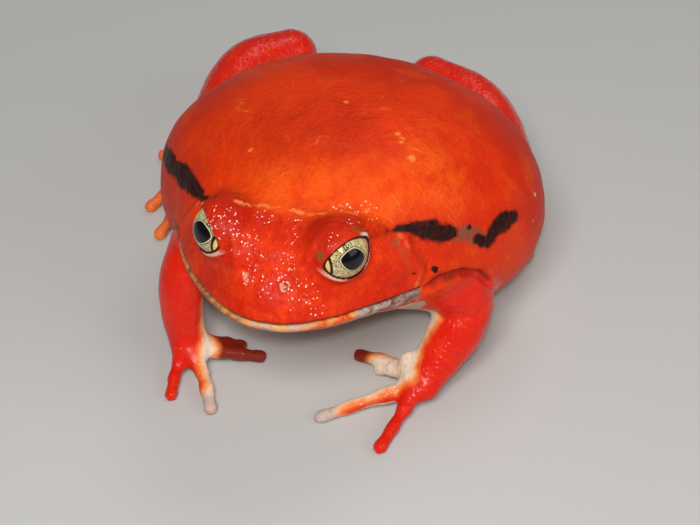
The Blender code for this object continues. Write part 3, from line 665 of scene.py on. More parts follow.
for nostril in NOSTRILS:
    out = np.array(NOSTRIL_FACING) * [np.sign(nostril[0]), 1, 1]
    out /= np.linalg.norm(out)
    offset = points - swing(nostril)
    flat = offset - (offset @ out)[:, None] * out
    slant = np.cross(out, (0.0, 0.0, 1.0))
    slant /= np.linalg.norm(slant)
    radius = np.sqrt(((flat @ slant) / NOSTRIL_STRETCH)**2 + (flat @ np.cross(out, slant))**2)
    uneven = 1 + 0.5 * lattice_noise(points, 0.8, 7)
    lift = RING_HEIGHT * uneven * mound(radius - RING_RADIUS, NOSTRIL_WIDTH)
    lift -= PIT_DEPTH * mound(radius, NOSTRIL_WIDTH)
    near = np.linalg.norm(offset, axis=1) < 3.0
    points = points + out * (near * lift)[:, None]

# Lids
# The eyelids are the edge of the brow's skin, drawn tight round the eyeball with a
# rounded rim. Inside the opening the skin turns in and runs behind the ball.
LID_THICKNESS = 0.36
UPPER_LID = 0.25                 # what the upper lid is thicker by
LID_RIM = ((0.12, 0.10, 1.14),)
LID_TUCK = 0.9
LID_ROUNDS = 40

for side in (1.0, -1.0):
    measure, length, _, rise = lid_measure(points, side)
    tucked = EYE_RADIUS - LID_TUCK
    margin = EYE_RADIUS + LID_THICKNESS + UPPER_LID * smooth_step(0.1, 0.5, rise)
    edge = tucked + (margin - tucked) * smooth_step(0.92, 1.03, measure)
    edge += mounds(measure, LID_RIM)
    share = smooth_step(1.05, 2.1, measure)
    near = (measure < 3) & (length < EYE_RADIUS + 6)
    factor = np.where(near, (edge * (1 - share) + length * share) / length, 1.0)
    centre = eye_centre(side)
    points = centre + (points - centre) * factor[:, None]
    measure, length, _, _ = lid_measure(points, side)
    loose = smooth_step(1.14, 1.35, measure) * smooth_step(3.2, 2.2, measure)
    loose *= length < EYE_RADIUS + 5
    points = relaxed(points, pairs, DRAW_IN * loose, LID_ROUNDS)
points = np.clip(points, *(np.array(cad_box) / MM))
set_points(skin.data, points)

# Skin colours
# The colours are laid on as soft patches: black stripes behind the eyes, a lip that goes
# from cream to grey, and white inner sides of the hands. Each patch is a share per point.
# Some patches are painted light: painted shade in the creases, along the mouth slit, in the
# nostrils, round the lids, on the back and on the inner fingers under the chin, a painted
# highlight along each ear fold, and painted glints on the head.
STRIPES = (
    (((14.9, -35.2, 42.0), (16.1, -31.6, 39.8), (17.9, -30.1, 39.3), (20.0, -28.7, 38.5),
      (22.6, -26.9, 37.1), (24.4, -25.4, 36.1), (25.4, -24.6, 35.8)),
     (0.0, 0.25, 0.35, 0.5, 0.7, 0.85, 1.0), (0.2, 0.3, 0.7, 1.5, 2.0, 1.9, 0.9)),
    (((28.8, -22.0, 32.9), (30.4, -20.3, 31.5), (30.8, -19.2, 32.5), (31.9, -16.8, 32.9),
      (33.4, -13.6, 32.0)),
     (0.0, 0.25, 0.5, 0.8, 1.0), (0.9, 1.5, 1.8, 1.9, 1.2)),
    (((-17.8, -35.8, 41.6), (-21.5, -29.3, 37.6), (-24.3, -26.3, 36.5), (-27.1, -23.1, 35.4),
      (-30.2, -19.1, 33.6), (-33.7, -13.6, 30.9)),
     (0.0, 0.35, 0.5, 0.65, 0.8, 1.0), (0.3, 1.5, 2.1, 1.4, 2.0, 1.7)),
)
EAR_STREAKS = ((((16.9, -34.3, 40.0), (18.0, -33.0, 36.8), (19.2, -33.4, 34.6), (20.0, -33.9, 32.2)),
                (0.0, 0.5, 1.0), (0.1, 0.35, 0.0)),)
GREY_GAP = ((((25.2, -24.8, 35.6), (26.9, -23.4, 34.9), (28.5, -22.2, 33.6), (29.6, -21.2, 32.4)),
             (0.0, 1.0), (1.6, 1.6)),)
DARK_DOTS = ((24.2, -31.4, 32.0, 0.8), (27.4, -22.3, 35.6, 0.5), (20.1, -33.4, 32.2, 0.4))
PALE_DOTS = ((35.3, -5.6, 31.1, 0.45), (36.2, -8.4, 27.6, 0.3))
YELLOW_DOTS = ((15.4, -18.3, 45.5, 0.8), (11.3, -14.0, 46.6, 0.5), (13.2, -15.8, 46.3, 0.4),
               (0.2, -8.4, 47.1, 0.5), (14.8, -39.8, 40.4, 0.9), (17.0, -40.0, 39.6, 0.6),
               (-12.4, -24.6, 45.4, 0.4))
OLIVE_DOTS = ((12.0, -39.9, 46.2, 0.9), (7.0, -46.1, 43.9, 1.0), (17.1, -33.9, 39.0, 0.7))
# painted highlight: places on the head where pale specks stand in for glints, and where the wet coat is a
# little stronger
PAINTED_GLINT_PLACES = ((-12.0, -43.9, 46.7), (-9.8, -43.5, 46.5), (-10.3, -45.9, 45.4), (-7.5, -45.9, 43.2),
           (-6.1, -43.8, 42.6), (-4.8, -39.6, 43.3), (0.6, -39.9, 43.1), (1.4, -42.6, 42.0),
           (1.5, -45.2, 40.6), (1.6, -47.1, 39.5), (-4.0, -45.9, 40.4), (-4.2, -49.6, 39.2),
           (-1.3, -49.9, 38.0), (4.1, -48.2, 37.9), (6.0, -48.1, 36.7), (8.7, -49.1, 40.7),
           (10.8, -48.7, 40.9), (4.7, -49.8, 36.0), (7.2, -48.6, 34.9), (7.2, -33.6, 43.6),
           (9.6, -32.6, 43.2), (11.2, -31.7, 42.8), (11.7, -38.1, 46.1), (9.5, -44.2, 46.2))
# painted shade: places on the top of the back, mostly right of its middle, that are darkened to deep red
PAINTED_SHADE_PLACES = ((-8.0, -22.0, 46.5), (-14.4, -19.6, 45.6), (-2.0, -16.0, 47.0))
GLOW = ((4.0, -31.0, 45.2), (12.0, -27.0, 44.2), (19.0, -19.0, 42.0), (-6.0, -33.0, 45.0))
WHITE_EDGES = (
    (((23.0, -23.8, 16.2), (22.5, -25.6, 12.0), (20.6, -29.0, 7.6), (18.2, -30.8, 5.6),
      (16.4, -30.4, 3.6)), (0.0, 0.3, 0.55, 0.8, 1.0), (2.6, 2.6, 2.8, 3.4, 3.6)),
    (((21.0, -32.4, 4.9), (15.0, -36.0, 3.7), (5.8, -42.6, 2.0)), (0.0, 0.2, 0.9, 1.0),
     (2.3, 1.9, 1.8, 2.6)),
    (((-20.6, -32.4, 13.0), (-20.0, -33.4, 9.0), (-18.9, -34.6, 6.2), (-18.0, -37.0, 5.0),
      (-16.6, -40.0, 3.6), (-14.0, -46.6, 2.2)), (0.0, 0.3, 0.5, 0.85, 1.0),
     (1.2, 1.6, 2.2, 1.3, 2.4)),
)
THUMB_PALE = (-0.4, 0.4, 0.3)    # the pale side of the first finger faces in and up
THUMB_PALE_WIDTH = 2.7
# painted shade: the inner fingers, which lie in the shade under the chin, are coloured dark red-brown
SHADED_DIGITS = FINGERS_LEFT[1:2] + FINGERS_RIGHT[:2]
LIP_BAND = ((-20.0, -8.0, 0.0, 8.0, 14.0, 20.0), (0.9, 1.0, 1.3, 1.5, 2.0, 3.2))
CHEST_LINE = ((-34.0, -24.0), (24.0, 15.0))


def patch(mesh, name, values):
    layer = mesh.attributes.new(name, "FLOAT", "POINT")
    layer.data.foreach_set("value", np.asarray(values, np.float32))


def dots(points, places):
    """How far inside the nearest dot a point lies, in millimetres, below 0 outside."""
    middles = nearest(points, [place[:3] for place in places])
    return np.max([place[3] - np.linalg.norm(points - middle, axis=1)
                   for place, middle in zip(places, middles)], axis=0)


def banded(points, lines):
    """How far inside a band of varying half width along any of the lines a point lies."""
    inside = np.full(len(points), -9.0)
    for line, stations, widths in lines:
        away, share = along_line(points, on_skin(points, line))
        inside = np.maximum(inside, np.interp(share, stations, widths) - away)
    return inside


def line_distance(points, lines, fade=0.0, drift=0.0):
    """Distance from the nearest line, made larger by fade at its ends and by drift along it."""
    found = [along_line(points, line) for line in lines]
    return np.min([away + fade * (1 - taper(share)) + drift * share for away, share in found], axis=0)


mesh = skin.data
normals = normals_of(mesh)
for name, bands in (("stripe", STRIPES), ("grey_gap", GREY_GAP), ("ear_streak", EAR_STREAKS)):
    patch(mesh, name, banded(points, bands))
for name, places in (("dark_dots", DARK_DOTS), ("pale_dots", PALE_DOTS),
                     ("yellow_dots", YELLOW_DOTS), ("olive_dots", OLIVE_DOTS)):
    patch(mesh, name, dots(points, places))
creases = [on_skin(points, crease) for crease in SHOULDER_CREASES]
# a painted highlight runs along each ear fold, and painted shade lies in the crease just outside it
behind_ears = [on_skin(points, arc) for arc in both_sides(np.array(EAR_ARC) + EAR_CREASE_SHIFT)]
patch(mesh, "head_line", line_distance(points, [head_fold], 2.0))
patch(mesh, "ear_ridge_highlight", line_distance(points, ear_arcs))
patch(mesh, "ear_crease_shade", line_distance(points, behind_ears, 1.5))
# painted shade along the creases above the shoulders
patch(mesh, "crease", line_distance(points, creases, 2.5, 1.0))

height, mouth = mouth_offset(points)
level = unswung(points)
band = np.interp(level[:, 0], *LIP_BAND)
# painted shade along the mouth slit
patch(mesh, "mouth_slit_shade", np.where(mouth > 0.2, np.abs(height), FAR))
patch(mesh, "lip", mouth * smooth_step(0.15, -0.1, height)
      * smooth_step(-band - 0.3, -band + 0.1, height))
patch(mesh, "lip_side", level[:, 0])
throat = (smooth_step(-band, -band - 1.2, height) * smooth_step(-20.0, -30.0, points[:, 1])
          * smooth_step(0.3, -0.2, normals[:, 2]) * (points[:, 2] > 12) * (np.abs(level[:, 0]) < 22.5))
chest = np.interp(points[:, 1], *CHEST_LINE)
half_width = np.where(points[:, 1] > -22.0, 40.0, 20.0)
patch(mesh, "belly", smooth_step(chest, chest - 12.0, points[:, 2])
      * smooth_step(0.1, -0.45, normals[:, 2]) * smooth_step(-46.0, -40.0, points[:, 1])
      * (np.abs(points[:, 0]) < half_width))
patch(mesh, "flank", smooth_step(25.0, 9.0, points[:, 2]))

ahead = smooth_step(-37.4, -38.6, level[:, 1]) * smooth_step(15.0, 10.0, np.abs(level[:, 0]))
cheek = smooth_step(-33.0, -37.5, level[:, 1]) * smooth_step(10.0, 15.0, np.abs(level[:, 0]))
patch(mesh, "head", np.maximum(ahead, cheek))
brow_tops = [swing([side * EYE[0], EYE[1], EYE[2] + 4.0]) for side in (1.0, -1.0)]
tips = [line[-1] for line in (FINGERS_LEFT[2], FINGERS_RIGHT[2])]
toe_tips = [toe[-1] for toe in TOES_LEFT + TOES_RIGHT]
# the glittering places get painted glints and a little more wet coat
painted_glints_and_gloss = near_any(points, PAINTED_GLINT_PLACES, 1.4, 3.0)
patch(mesh, "painted_glints_and_gloss", painted_glints_and_gloss)
for name, places, full, none in (("brow", brow_tops, 4.0, 8.0), ("painted_shade", PAINTED_SHADE_PLACES, 3.0, 13.0),
                                 ("glow", GLOW, 2.0, 11.0), ("tips", tips, 1.2, 5.0),
                                 ("toes", toe_tips, 1.5, 7.0)):
    patch(mesh, name, near_any(points, places, full, none))

lids = np.full(len(points), FAR)
pale_lid = np.zeros(len(points))
for side in (1.0, -1.0):
    measure, length, fore_aft, rise = lid_measure(points, side)
    close = length < EYE_RADIUS + 2.5
    lids = np.minimum(lids, np.where(close, measure, FAR))
    front_low = smooth_step(-0.2, -0.5, fore_aft) * smooth_step(0.0, -0.3, rise) * 0.6
    corners = np.maximum(smooth_step(0.35, 0.6, fore_aft), front_low)
    pale_lid = np.maximum(pale_lid, close * corners)
# the lid measure also places the painted shade on the lid rims
patch(mesh, "lids", lids)
patch(mesh, "pale_lid", pale_lid)
nostrils = np.min([np.linalg.norm(points - swing(nostril), axis=1) for nostril in NOSTRILS], axis=0)
# distance from the nostrils, which places their cream rims and the painted shade in their pits
patch(mesh, "nostrils", nostrils)

arms = [along_line(points, np.array(arm)[:, :3]) for arm in (ARM_LEFT, ARM_RIGHT)]
arm = np.max([smooth_step(8.0, 6.6, away) * smooth_step(0.08, 0.2, share)
              for away, share in arms], axis=0)
shanks = [np.array(shank)[:, :3] for shank in (SHANK_LEFT, SHANK_RIGHT)]
shank = smooth_step(8.4, 7.2, line_distance(points, shanks))
limb = np.max([arm, shank, smooth_step(8.0, 5.0, points[:, 2])], axis=0)
patch(mesh, "limb", limb)
patch(mesh, "wet", np.max([0.55 * limb, shank, 0.15 * painted_glints_and_gloss], axis=0))
patch(mesh, "back", (1 - limb) * smooth_step(-38.0, -33.0, points[:, 1])
      * smooth_step(22.0, 30.0, points[:, 2]))
patch(mesh, "throat", throat * (1 - limb))
pale = line_distance(points, [np.array(FINGERS_LEFT[0]) + THUMB_PALE])
patch(mesh, "white_edge", np.maximum(banded(points, WHITE_EDGES), THUMB_PALE_WIDTH - pale))
digits = [along_line(points, digit) for digit in SHADED_DIGITS]
dark = np.min([away + 3.0 * (1 - share)**4 for away, share in digits], axis=0)
patch(mesh, "shaded_digits", smooth_step(2.6, 1.9, dark))

# Skin finish
# The skin is orange-red and moist. Its colour wanders from vermilion to deep red, it is
# set with fine granules, and a thin wet film gives it small sharp lights. Pale specks in the
# glittering places are painted highlights, and some darker patches are painted shade.


def srgb(red, green, blue):
    """A colour given in 0..255 steps of brightness as light, for a shader."""
    share = np.array([red, green, blue]) / 255
    light = np.where(share <= 0.04045, share / 12.92, ((share + 0.055) / 1.055)**2.4)
    return (*light.tolist(), 1.0)


def add_node(tree, kind, inputs=(), **settings):
    """Adds a node, with its settings, and its inputs given as values or as sockets."""
    node = tree.nodes.new(kind)
    for key, value in settings.items():
        setattr(node, key, value)
    for key, value in dict(inputs).items():
        if isinstance(value, bpy.types.NodeSocket):
            tree.links.new(value, node.inputs[key])
        else:
            node.inputs[key].default_value = value
    return node


def new_finish(name, settings):
    """A material, its node tree and its shader, with the shader's inputs set from a table."""
    finish = bpy.data.materials.new(name)
    finish.use_nodes = True
    shader = finish.node_tree.nodes["Principled BSDF"]
    for key, value in settings.items():
        shader.inputs[key].default_value = value
    return finish, finish.node_tree, shader


def attribute(tree, name):
    return add_node(tree, "ShaderNodeAttribute", attribute_name=name).outputs["Fac"]


def ramp(tree, value, low, high, to_low=0.0, to_high=1.0):
    """Maps a value from one range onto another with soft ends."""
    node = add_node(tree, "ShaderNodeMapRange", {"Value": value, "From Min": low, "From Max": high,
                                                 "To Min": to_low, "To Max": to_high},
                    interpolation_type="SMOOTHSTEP")
    return node.outputs["Result"]


def math_node(tree, operation, first, second):
    return add_node(tree, "ShaderNodeMath", {0: first, 1: second}, operation=operation).outputs[0]


def blend_colour(tree, share, first, second):
    node = add_node(tree, "ShaderNodeMix", data_type="RGBA")
    for socket, value in ((node.inputs[0], share), (node.inputs[6], first), (node.inputs[7], second)):
        if isinstance(value, bpy.types.NodeSocket):
            tree.links.new(value, socket)
        else:
            socket.default_value = value
    return node.outputs[2]


def painted(tree, under, over, value, low, high, to_low=0.0, to_high=1.0):
    """A colour with another laid over it, by a share ramped from a value."""
    return blend_colour(tree, ramp(tree, value, low, high, to_low, to_high), under, over)


def times(tree, name, factor):
    """A patch multiplied by a value or a socket."""
    return math_node(tree, "MULTIPLY", attribute(tree, name), factor)


def ragged(tree, name, cloud, least, most):
    """A patch with an uneven edge: a cloud, spread from least to most, is added to it."""
    return math_node(tree, "ADD", attribute(tree, name), ramp(tree, cloud, 0.3, 0.7, least, most))


def noise(tree, scale, detail=4.0, rough=0.55, stretch=None):
    """Cloudy values on the object's own coordinates, in metres."""
    place = add_node(tree, "ShaderNodeTexCoord").outputs["Object"]
    if stretch:
        place = add_node(tree, "ShaderNodeMapping", {"Vector": place, "Scale": stretch}).outputs[0]
    return add_node(tree, "ShaderNodeTexNoise", {"Vector": place, "Scale": scale, "Detail": detail,
                                                 "Roughness": rough}).outputs["Fac"]


def cells(tree, scale, randomness=1.0):
    """Distance from the nearest of many scattered points, and a random value for each."""
    place = add_node(tree, "ShaderNodeTexCoord").outputs["Object"]
    node = add_node(tree, "ShaderNodeTexVoronoi", {"Vector": place, "Scale": scale,
                                                   "Randomness": randomness})
    return node.outputs["Distance"], add_node(tree, "ShaderNodeSeparateColor",
                                              {0: node.outputs["Color"]}).outputs[0]


VERMILION = srgb(228, 58, 6)
ORANGE = srgb(240, 92, 14)
DEEP_RED = srgb(204, 40, 4)
# deep red for the painted shade on the back, and for the soft edges of the black stripes
SHADE_AND_STRIPE_RED = srgb(186, 44, 8)
HEAD_RED = srgb(200, 32, 4)
BROW_RED = srgb(176, 26, 6)
LIMB_RED = srgb(218, 26, 5)
PALE_ORANGE = srgb(250, 150, 70)
BLACK_BROWN = srgb(24, 10, 6)
GREY_BROWN = srgb(112, 76, 56)
OLIVE = srgb(120, 84, 40)
CREAM = srgb(240, 216, 190)
YELLOW_CREAM = srgb(226, 160, 84)
GREY_WHITE = srgb(196, 176, 164)
FLANK_ORANGE = srgb(190, 66, 14)
# dark red-brown of the painted shade on the inner fingers
SHADED_DIGIT_BROWN = srgb(128, 34, 18)
# dark red of the painted shade in the shoulder and ear creases
CREASE_SHADE_RED = srgb(96, 10, 4)
FINE_RED = srgb(160, 24, 2)
# white of the painted glints
PAINTED_GLINT_WHITE = srgb(255, 226, 206)
BUMP_STRENGTH = 0.5

finish, tree, shader = new_finish("frog_skin", {
    "Specular IOR Level": 0.12, "Subsurface Weight": 0.10, "Subsurface Radius": (1.0, 0.2, 0.05),
    "Subsurface Scale": 0.0012, "Coat Roughness": 0.06, "Coat IOR": 1.34})

broad = noise(tree, scale=45.0, detail=3.0)
patches = noise(tree, scale=170.0, detail=5.0, rough=0.6)
fine = noise(tree, scale=900.0, detail=5.0, rough=0.65)
veins = noise(tree, scale=330.0, detail=6.0, rough=0.7, stretch=(1.0, 0.55, 1.0))
colour = painted(tree, DEEP_RED, VERMILION, broad, 0.36, 0.62)
colour = painted(tree, colour, ORANGE, patches, 0.5, 0.75, 0.0, 0.4)
glow = times(tree, "glow", ramp(tree, veins, 0.35, 0.6, 0.15, 0.75))
colour = blend_colour(tree, glow, colour, ORANGE)
# painted shade: the back darkens towards deep red round the shade places
painted_shade = times(tree, "painted_shade", ramp(tree, veins, 0.35, 0.65, 0.8, 0.3))
colour = blend_colour(tree, painted_shade, colour, SHADE_AND_STRIPE_RED)
head_colour = painted(tree, HEAD_RED, VERMILION, veins, 0.42, 0.66)
head_colour = blend_colour(tree, times(tree, "brow", 0.75), head_colour, BROW_RED)
colour = blend_colour(tree, times(tree, "head", 0.85), colour, head_colour)
limb_colour = painted(tree, LIMB_RED, VERMILION, veins, 0.4, 0.75, 0.0, 0.5)
colour = blend_colour(tree, attribute(tree, "limb"), colour, limb_colour)
flank = times(tree, "flank", ramp(tree, patches, 0.3, 0.65, 0.3, 0.85))
off_limbs = math_node(tree, "SUBTRACT", 1.0, attribute(tree, "limb"))
colour = blend_colour(tree, math_node(tree, "MULTIPLY", flank, off_limbs), colour, FLANK_ORANGE)
blotches = ramp(tree, patches, 0.3, 0.7, 0.6, 1.4)
colour = painted(tree, colour, CREAM, times(tree, "belly", blotches), 0.15, 0.95)
colour = painted(tree, colour, GREY_WHITE, ragged(tree, "throat", patches, -0.2, 0.2), 0.25, 0.8)

# The lower lip is cream in front, grey-brown to the right and red to the left.
mottle = ramp(tree, noise(tree, scale=480.0, rough=0.7), 0.35, 0.65)
lip_colour = blend_colour(tree, mottle, YELLOW_CREAM, GREY_WHITE)
for dark, light, low, high in ((GREY_BROWN, YELLOW_CREAM, -2.0, -6.0), (VERMILION, YELLOW_CREAM, 4.0, 11.0),
                               (GREY_BROWN, GREY_WHITE, 14.0, 15.2)):
    mottled = blend_colour(tree, mottle, dark, light)
    lip_colour = painted(tree, lip_colour, mottled, attribute(tree, "lip_side"), low, high)
colour = blend_colour(tree, attribute(tree, "lip"), colour, lip_colour)
# painted shade on the inner fingers under the chin
colour = blend_colour(tree, attribute(tree, "shaded_digits"), colour, SHADED_DIGIT_BROWN)

white_edge = ragged(tree, "white_edge", patches, -0.35, 0.35)
head_line = ragged(tree, "head_line", veins, -0.35, 0.7)
# the pale line on each ear fold is a painted highlight, and the dark line beside it is painted shade
ear_ridge_highlight = ragged(tree, "ear_ridge_highlight", veins, -0.2, 0.25)
ear_crease_shade = ragged(tree, "ear_crease_shade", veins, -0.2, 0.4)
for kind, value, low, high, most in ((PALE_ORANGE, white_edge, -0.9, 0.8, 1.0),
                                     (CREAM, white_edge, 0.1, 1.6, 1.0),
                                     (GREY_WHITE, times(tree, "tips", blotches), 0.1, 0.9, 1.0),
                                     (PALE_ORANGE, attribute(tree, "toes"), 0.2, 1.0, 0.55),
                                     (PALE_ORANGE, head_line, 0.65, 0.15, 0.65),
                                     (PALE_ORANGE, ear_ridge_highlight, 0.7, 0.15, 0.42),
                                     (CREASE_SHADE_RED, ear_crease_shade, 0.8, 0.2, 0.35)):
    colour = painted(tree, colour, kind, value, low, high, 0.0, most)

# Hair lines on the back lie where a slow cloud crosses its middle value.
waves = noise(tree, scale=60.0, detail=2.0, rough=0.5, stretch=(1.0, 1.8, 1.0))
hair = math_node(tree, "ABSOLUTE", math_node(tree, "SUBTRACT", waves, 0.52), 0.0)
hair = math_node(tree, "MULTIPLY", ramp(tree, hair, 0.0035, 0.001),
                 ramp(tree, patches, 0.5, 0.62, 0.0, 0.45))
colour = blend_colour(tree, times(tree, "back", hair), colour, PALE_ORANGE)
# painted shade darkens the skin along the shoulder creases
colour = painted(tree, colour, CREASE_SHADE_RED, attribute(tree, "crease"), 2.2, 0.2, 0.0, 0.85)

rags = noise(tree, scale=380.0)
stripe = ragged(tree, "stripe", rags, -0.4, 0.4)
grey_gap = ragged(tree, "grey_gap", rags, -0.4, 0.4)
ear_streak = ragged(tree, "ear_streak", fine, -0.3, 0.3)
for kind, value, low, high, most in ((GREY_BROWN, grey_gap, -0.6, 0.9, 0.85),
                                     (SHADE_AND_STRIPE_RED, stripe, -0.8, 0.1, 0.6),
                                     (BLACK_BROWN, stripe, -0.3, 0.5, 1.0),
                                     (OLIVE, ear_streak, -0.5, 0.5, 0.55)):
    colour = painted(tree, colour, kind, value, low, high, 0.0, most)
for name, kind, most in (("dark_dots", BLACK_BROWN, 1.0), ("pale_dots", GREY_WHITE, 1.0),
                         ("yellow_dots", PALE_ORANGE, 0.7), ("olive_dots", OLIVE, 0.6)):
    spot = ragged(tree, name, fine, -0.25, 0.25)
    colour = painted(tree, colour, kind, spot, -0.25, 0.25, 0.0, most)

nostril = attribute(tree, "nostrils")
rim = math_node(tree, "MULTIPLY", ramp(tree, nostril, 1.15, 0.75),
                ramp(tree, fine, 0.4, 0.6, 0.0, 0.75))
colour = blend_colour(tree, rim, colour, CREAM)
# painted shade: the nostril pits darken to grey-brown and then to black-brown
colour = painted(tree, colour, GREY_BROWN, nostril, 0.8, 0.45)
colour = painted(tree, colour, BLACK_BROWN, nostril, 0.5, 0.25)
# painted shade: the mouth slit is darkened towards black-brown
colour = painted(tree, colour, BLACK_BROWN, attribute(tree, "mouth_slit_shade"), 0.34, 0.06, 0.0, 0.85)
lids = attribute(tree, "lids")
colour = blend_colour(tree, times(tree, "pale_lid", ramp(tree, lids, 1.14, 1.09)), colour, CREAM)
# painted shade: the rim where the lids meet the eyeball is black-brown
colour = painted(tree, colour, BLACK_BROWN, lids, 1.04, 1.015)

# Painted glints: fine pale specks, each in a cell of its own, stand in for sparks of light on wet
# granules and are largest in the glittering places.
granule, _ = cells(tree, 980.0)
painted_glint, pick = cells(tree, 1900.0)
size = math_node(tree, "MULTIPLY", ramp(tree, pick, 0.1, 1.0, 0.08, 0.36),
                 ramp(tree, attribute(tree, "painted_glints_and_gloss"), 0.1, 0.8))
painted_glint = ramp(tree, math_node(tree, "SUBTRACT", size, painted_glint), 0.0, 0.08)
colour = blend_colour(tree, math_node(tree, "MULTIPLY", painted_glint, 0.85), colour, PAINTED_GLINT_WHITE)
colour = painted(tree, colour, FINE_RED, fine, 0.35, 0.7, 0.0, 0.14)
wet = attribute(tree, "wet")
tree.links.new(colour, shader.inputs["Base Color"])
tree.links.new(ramp(tree, wet, 0.0, 1.0, 0.52, 0.38), shader.inputs["Roughness"])
tree.links.new(ramp(tree, wet, 0.0, 1.0, 0.06, 0.95), shader.inputs["Coat Weight"])

granules = ramp(tree, granule, 0.5, 0.05)
wrinkles = noise(tree, scale=1300.0, detail=5.0, rough=0.65)
hollows = noise(tree, scale=420.0, rough=0.6, stretch=(1.0, 0.6, 1.0))
below = {}
for height, depth in ((granules, 0.0002), (wrinkles, 0.00014), (hollows, 0.0006)):
    bump = add_node(tree, "ShaderNodeBump",
                    {"Height": height, "Strength": BUMP_STRENGTH, "Distance": depth, **below})
    below = {"Normal": bump.outputs["Normal"]}
for name in ("Normal", "Coat Normal"):
    tree.links.new(below["Normal"], shader.inputs[name])

set_points(skin.data, points * MM)
skin.data.shade_smooth()
skin.data.materials.append(finish)
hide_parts("torso", "head", "lower_jaw", "upper_arm_left", "upper_arm_right", "forearm_left",
            "forearm_right", "hand_left", "hand_right", "thigh_left", "thigh_right", "shank_left",
            "shank_right", "foot_left", "foot_right")
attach(skin, "root")

# Eyes
# Each eye is a wet ball with a silvery gold iris netted with black, round a black pupil
# with blunt corners. It rises in a low bulge in front under a clear wet coat, and its front
# corner is painted yellow for the fold that fills it.
CORNEA_RISE = 0.35
IRIS_GOLD = srgb(190, 164, 96)
IRIS_SILVER = srgb(218, 206, 158)
MEMBRANE = srgb(226, 190, 110)
PUPIL_BLACK = srgb(6, 6, 14)
PUPIL = (2.25, 1.95)
PUPIL_POWER = 1.6
PUPIL_TURN = 18.0
LOOKING = {1.0: (-0.4, 0.5), -1.0: (-1.3, 0.6)}


def eyeball(side, rings=72, around=96):
    """A ball with its poles on the line of sight, and a low parabolic rise in front."""
    out, along, across = gaze_frame(side)
    tilt = np.linspace(0, math.pi, rings)[:, None]
    turn = np.linspace(0, 2 * math.pi, around, endpoint=False)[None, :]
    reach = EYE_RADIUS + CORNEA_RISE * np.clip(1 - (tilt / 0.75)**2, 0, 1)
    grid = (reach * np.cos(tilt))[..., None] * out
    grid = grid + (reach * np.sin(tilt) * np.cos(turn))[..., None] * along
    grid = grid + (reach * np.sin(tilt) * np.sin(turn))[..., None] * across
    return grid + eye_centre(side)


eye_finish, tree, shader = new_finish("frog_eye", {
    "Roughness": 0.35, "Specular IOR Level": 0.05, "Coat Weight": 1.0,
    "Coat Roughness": 0.02, "Coat IOR": 1.38})
place = add_node(tree, "ShaderNodeAttribute", attribute_name="gaze").outputs["Vector"]
parts = add_node(tree, "ShaderNodeSeparateXYZ", {"Vector": place})
turned = add_node(tree, "ShaderNodeVectorRotate", {"Vector": place, "Angle": math.radians(PUPIL_TURN)},
                  rotation_type="Z_AXIS").outputs[0]
turned = add_node(tree, "ShaderNodeSeparateXYZ", {"Vector": turned})
sides = []
for output, half in zip(turned.outputs, PUPIL):
    share = math_node(tree, "ABSOLUTE", math_node(tree, "DIVIDE", output, half), 0.0)
    sides.append(math_node(tree, "POWER", share, PUPIL_POWER))
pupil = math_node(tree, "POWER", math_node(tree, "ADD", *sides), 1 / PUPIL_POWER)
flecks = add_node(tree, "ShaderNodeTexNoise", {"Vector": place, "Scale": 1.3, "Detail": 5.0}).outputs["Fac"]
threads = add_node(tree, "ShaderNodeTexNoise", {"Vector": place, "Scale": 3.4, "Detail": 5.0,
                                                "Roughness": 0.7}).outputs["Fac"]
grains = add_node(tree, "ShaderNodeTexVoronoi", {"Vector": place, "Scale": 3.5})
grain_pick = add_node(tree, "ShaderNodeSeparateColor", {0: grains.outputs["Color"]}).outputs[0]
colour = painted(tree, IRIS_GOLD, IRIS_SILVER, flecks, 0.38, 0.62)
reach = ramp(tree, pupil, 1.1, 2.3, 0.95, 0.25)
grain = math_node(tree, "MULTIPLY", ramp(tree, grains.outputs["Distance"], 0.42, 0.32),
                  ramp(tree, math_node(tree, "SUBTRACT", reach, grain_pick), 0.0, 0.1))
colour = blend_colour(tree, grain, colour, BLACK_BROWN)
thread = math_node(tree, "ABSOLUTE", math_node(tree, "SUBTRACT", threads, 0.5), 0.0)
thread = math_node(tree, "MULTIPLY", ramp(tree, thread, 0.03, 0.01), ramp(tree, pupil, 1.8, 1.2, 0.0, 0.8))
colour = blend_colour(tree, thread, colour, BLACK_BROWN)
cleft = math_node(tree, "ABSOLUTE", math_node(tree, "ADD", parts.outputs[0], 0.75), 0.0)
cleft = math_node(tree, "ABSOLUTE", math_node(tree, "SUBTRACT", cleft, 0.2), 0.0)
cleft = math_node(tree, "MULTIPLY", ramp(tree, cleft, 0.12, 0.05), ramp(tree, parts.outputs[1], 1.3, 1.6))
colour = blend_colour(tree, cleft, colour, BLACK_BROWN)
for kind, value, low, high in ((BLACK_BROWN, pupil, 1.20, 1.12), (IRIS_SILVER, pupil, 1.12, 1.08),
                               (PUPIL_BLACK, pupil, 1.06, 1.0),
                               (BLACK_BROWN, parts.outputs[2], -3.72, -3.84),
                               (MEMBRANE, parts.outputs[2], -4.06, -4.16)):
    colour = painted(tree, colour, kind, value, low, high)
tree.links.new(colour, shader.inputs["Base Color"])

for side, name in ((1.0, "eye_left"), (-1.0, "eye_right")):
    ball_points, ball_faces = shell(eyeball(side))
    ball = new_object("ball_" + name, ball_points * MM, ball_faces)
    ball.data.shade_smooth()
    ball.data.materials.append(eye_finish)
    out, along, across = gaze_frame(side)
    offset = ball_points - eye_centre(side)
    fore_aft = offset @ along * side
    local = np.stack([fore_aft - LOOKING[side][0], offset @ across - LOOKING[side][1], fore_aft], axis=1)
    local[:, 2] += 20.0 * (offset @ out < 0)
    layer = ball.data.attributes.new("gaze", "FLOAT_VECTOR", "POINT")
    layer.data.foreach_set("vector", local.astype(np.float32).ravel())
    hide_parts(name)
    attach(ball, "root")

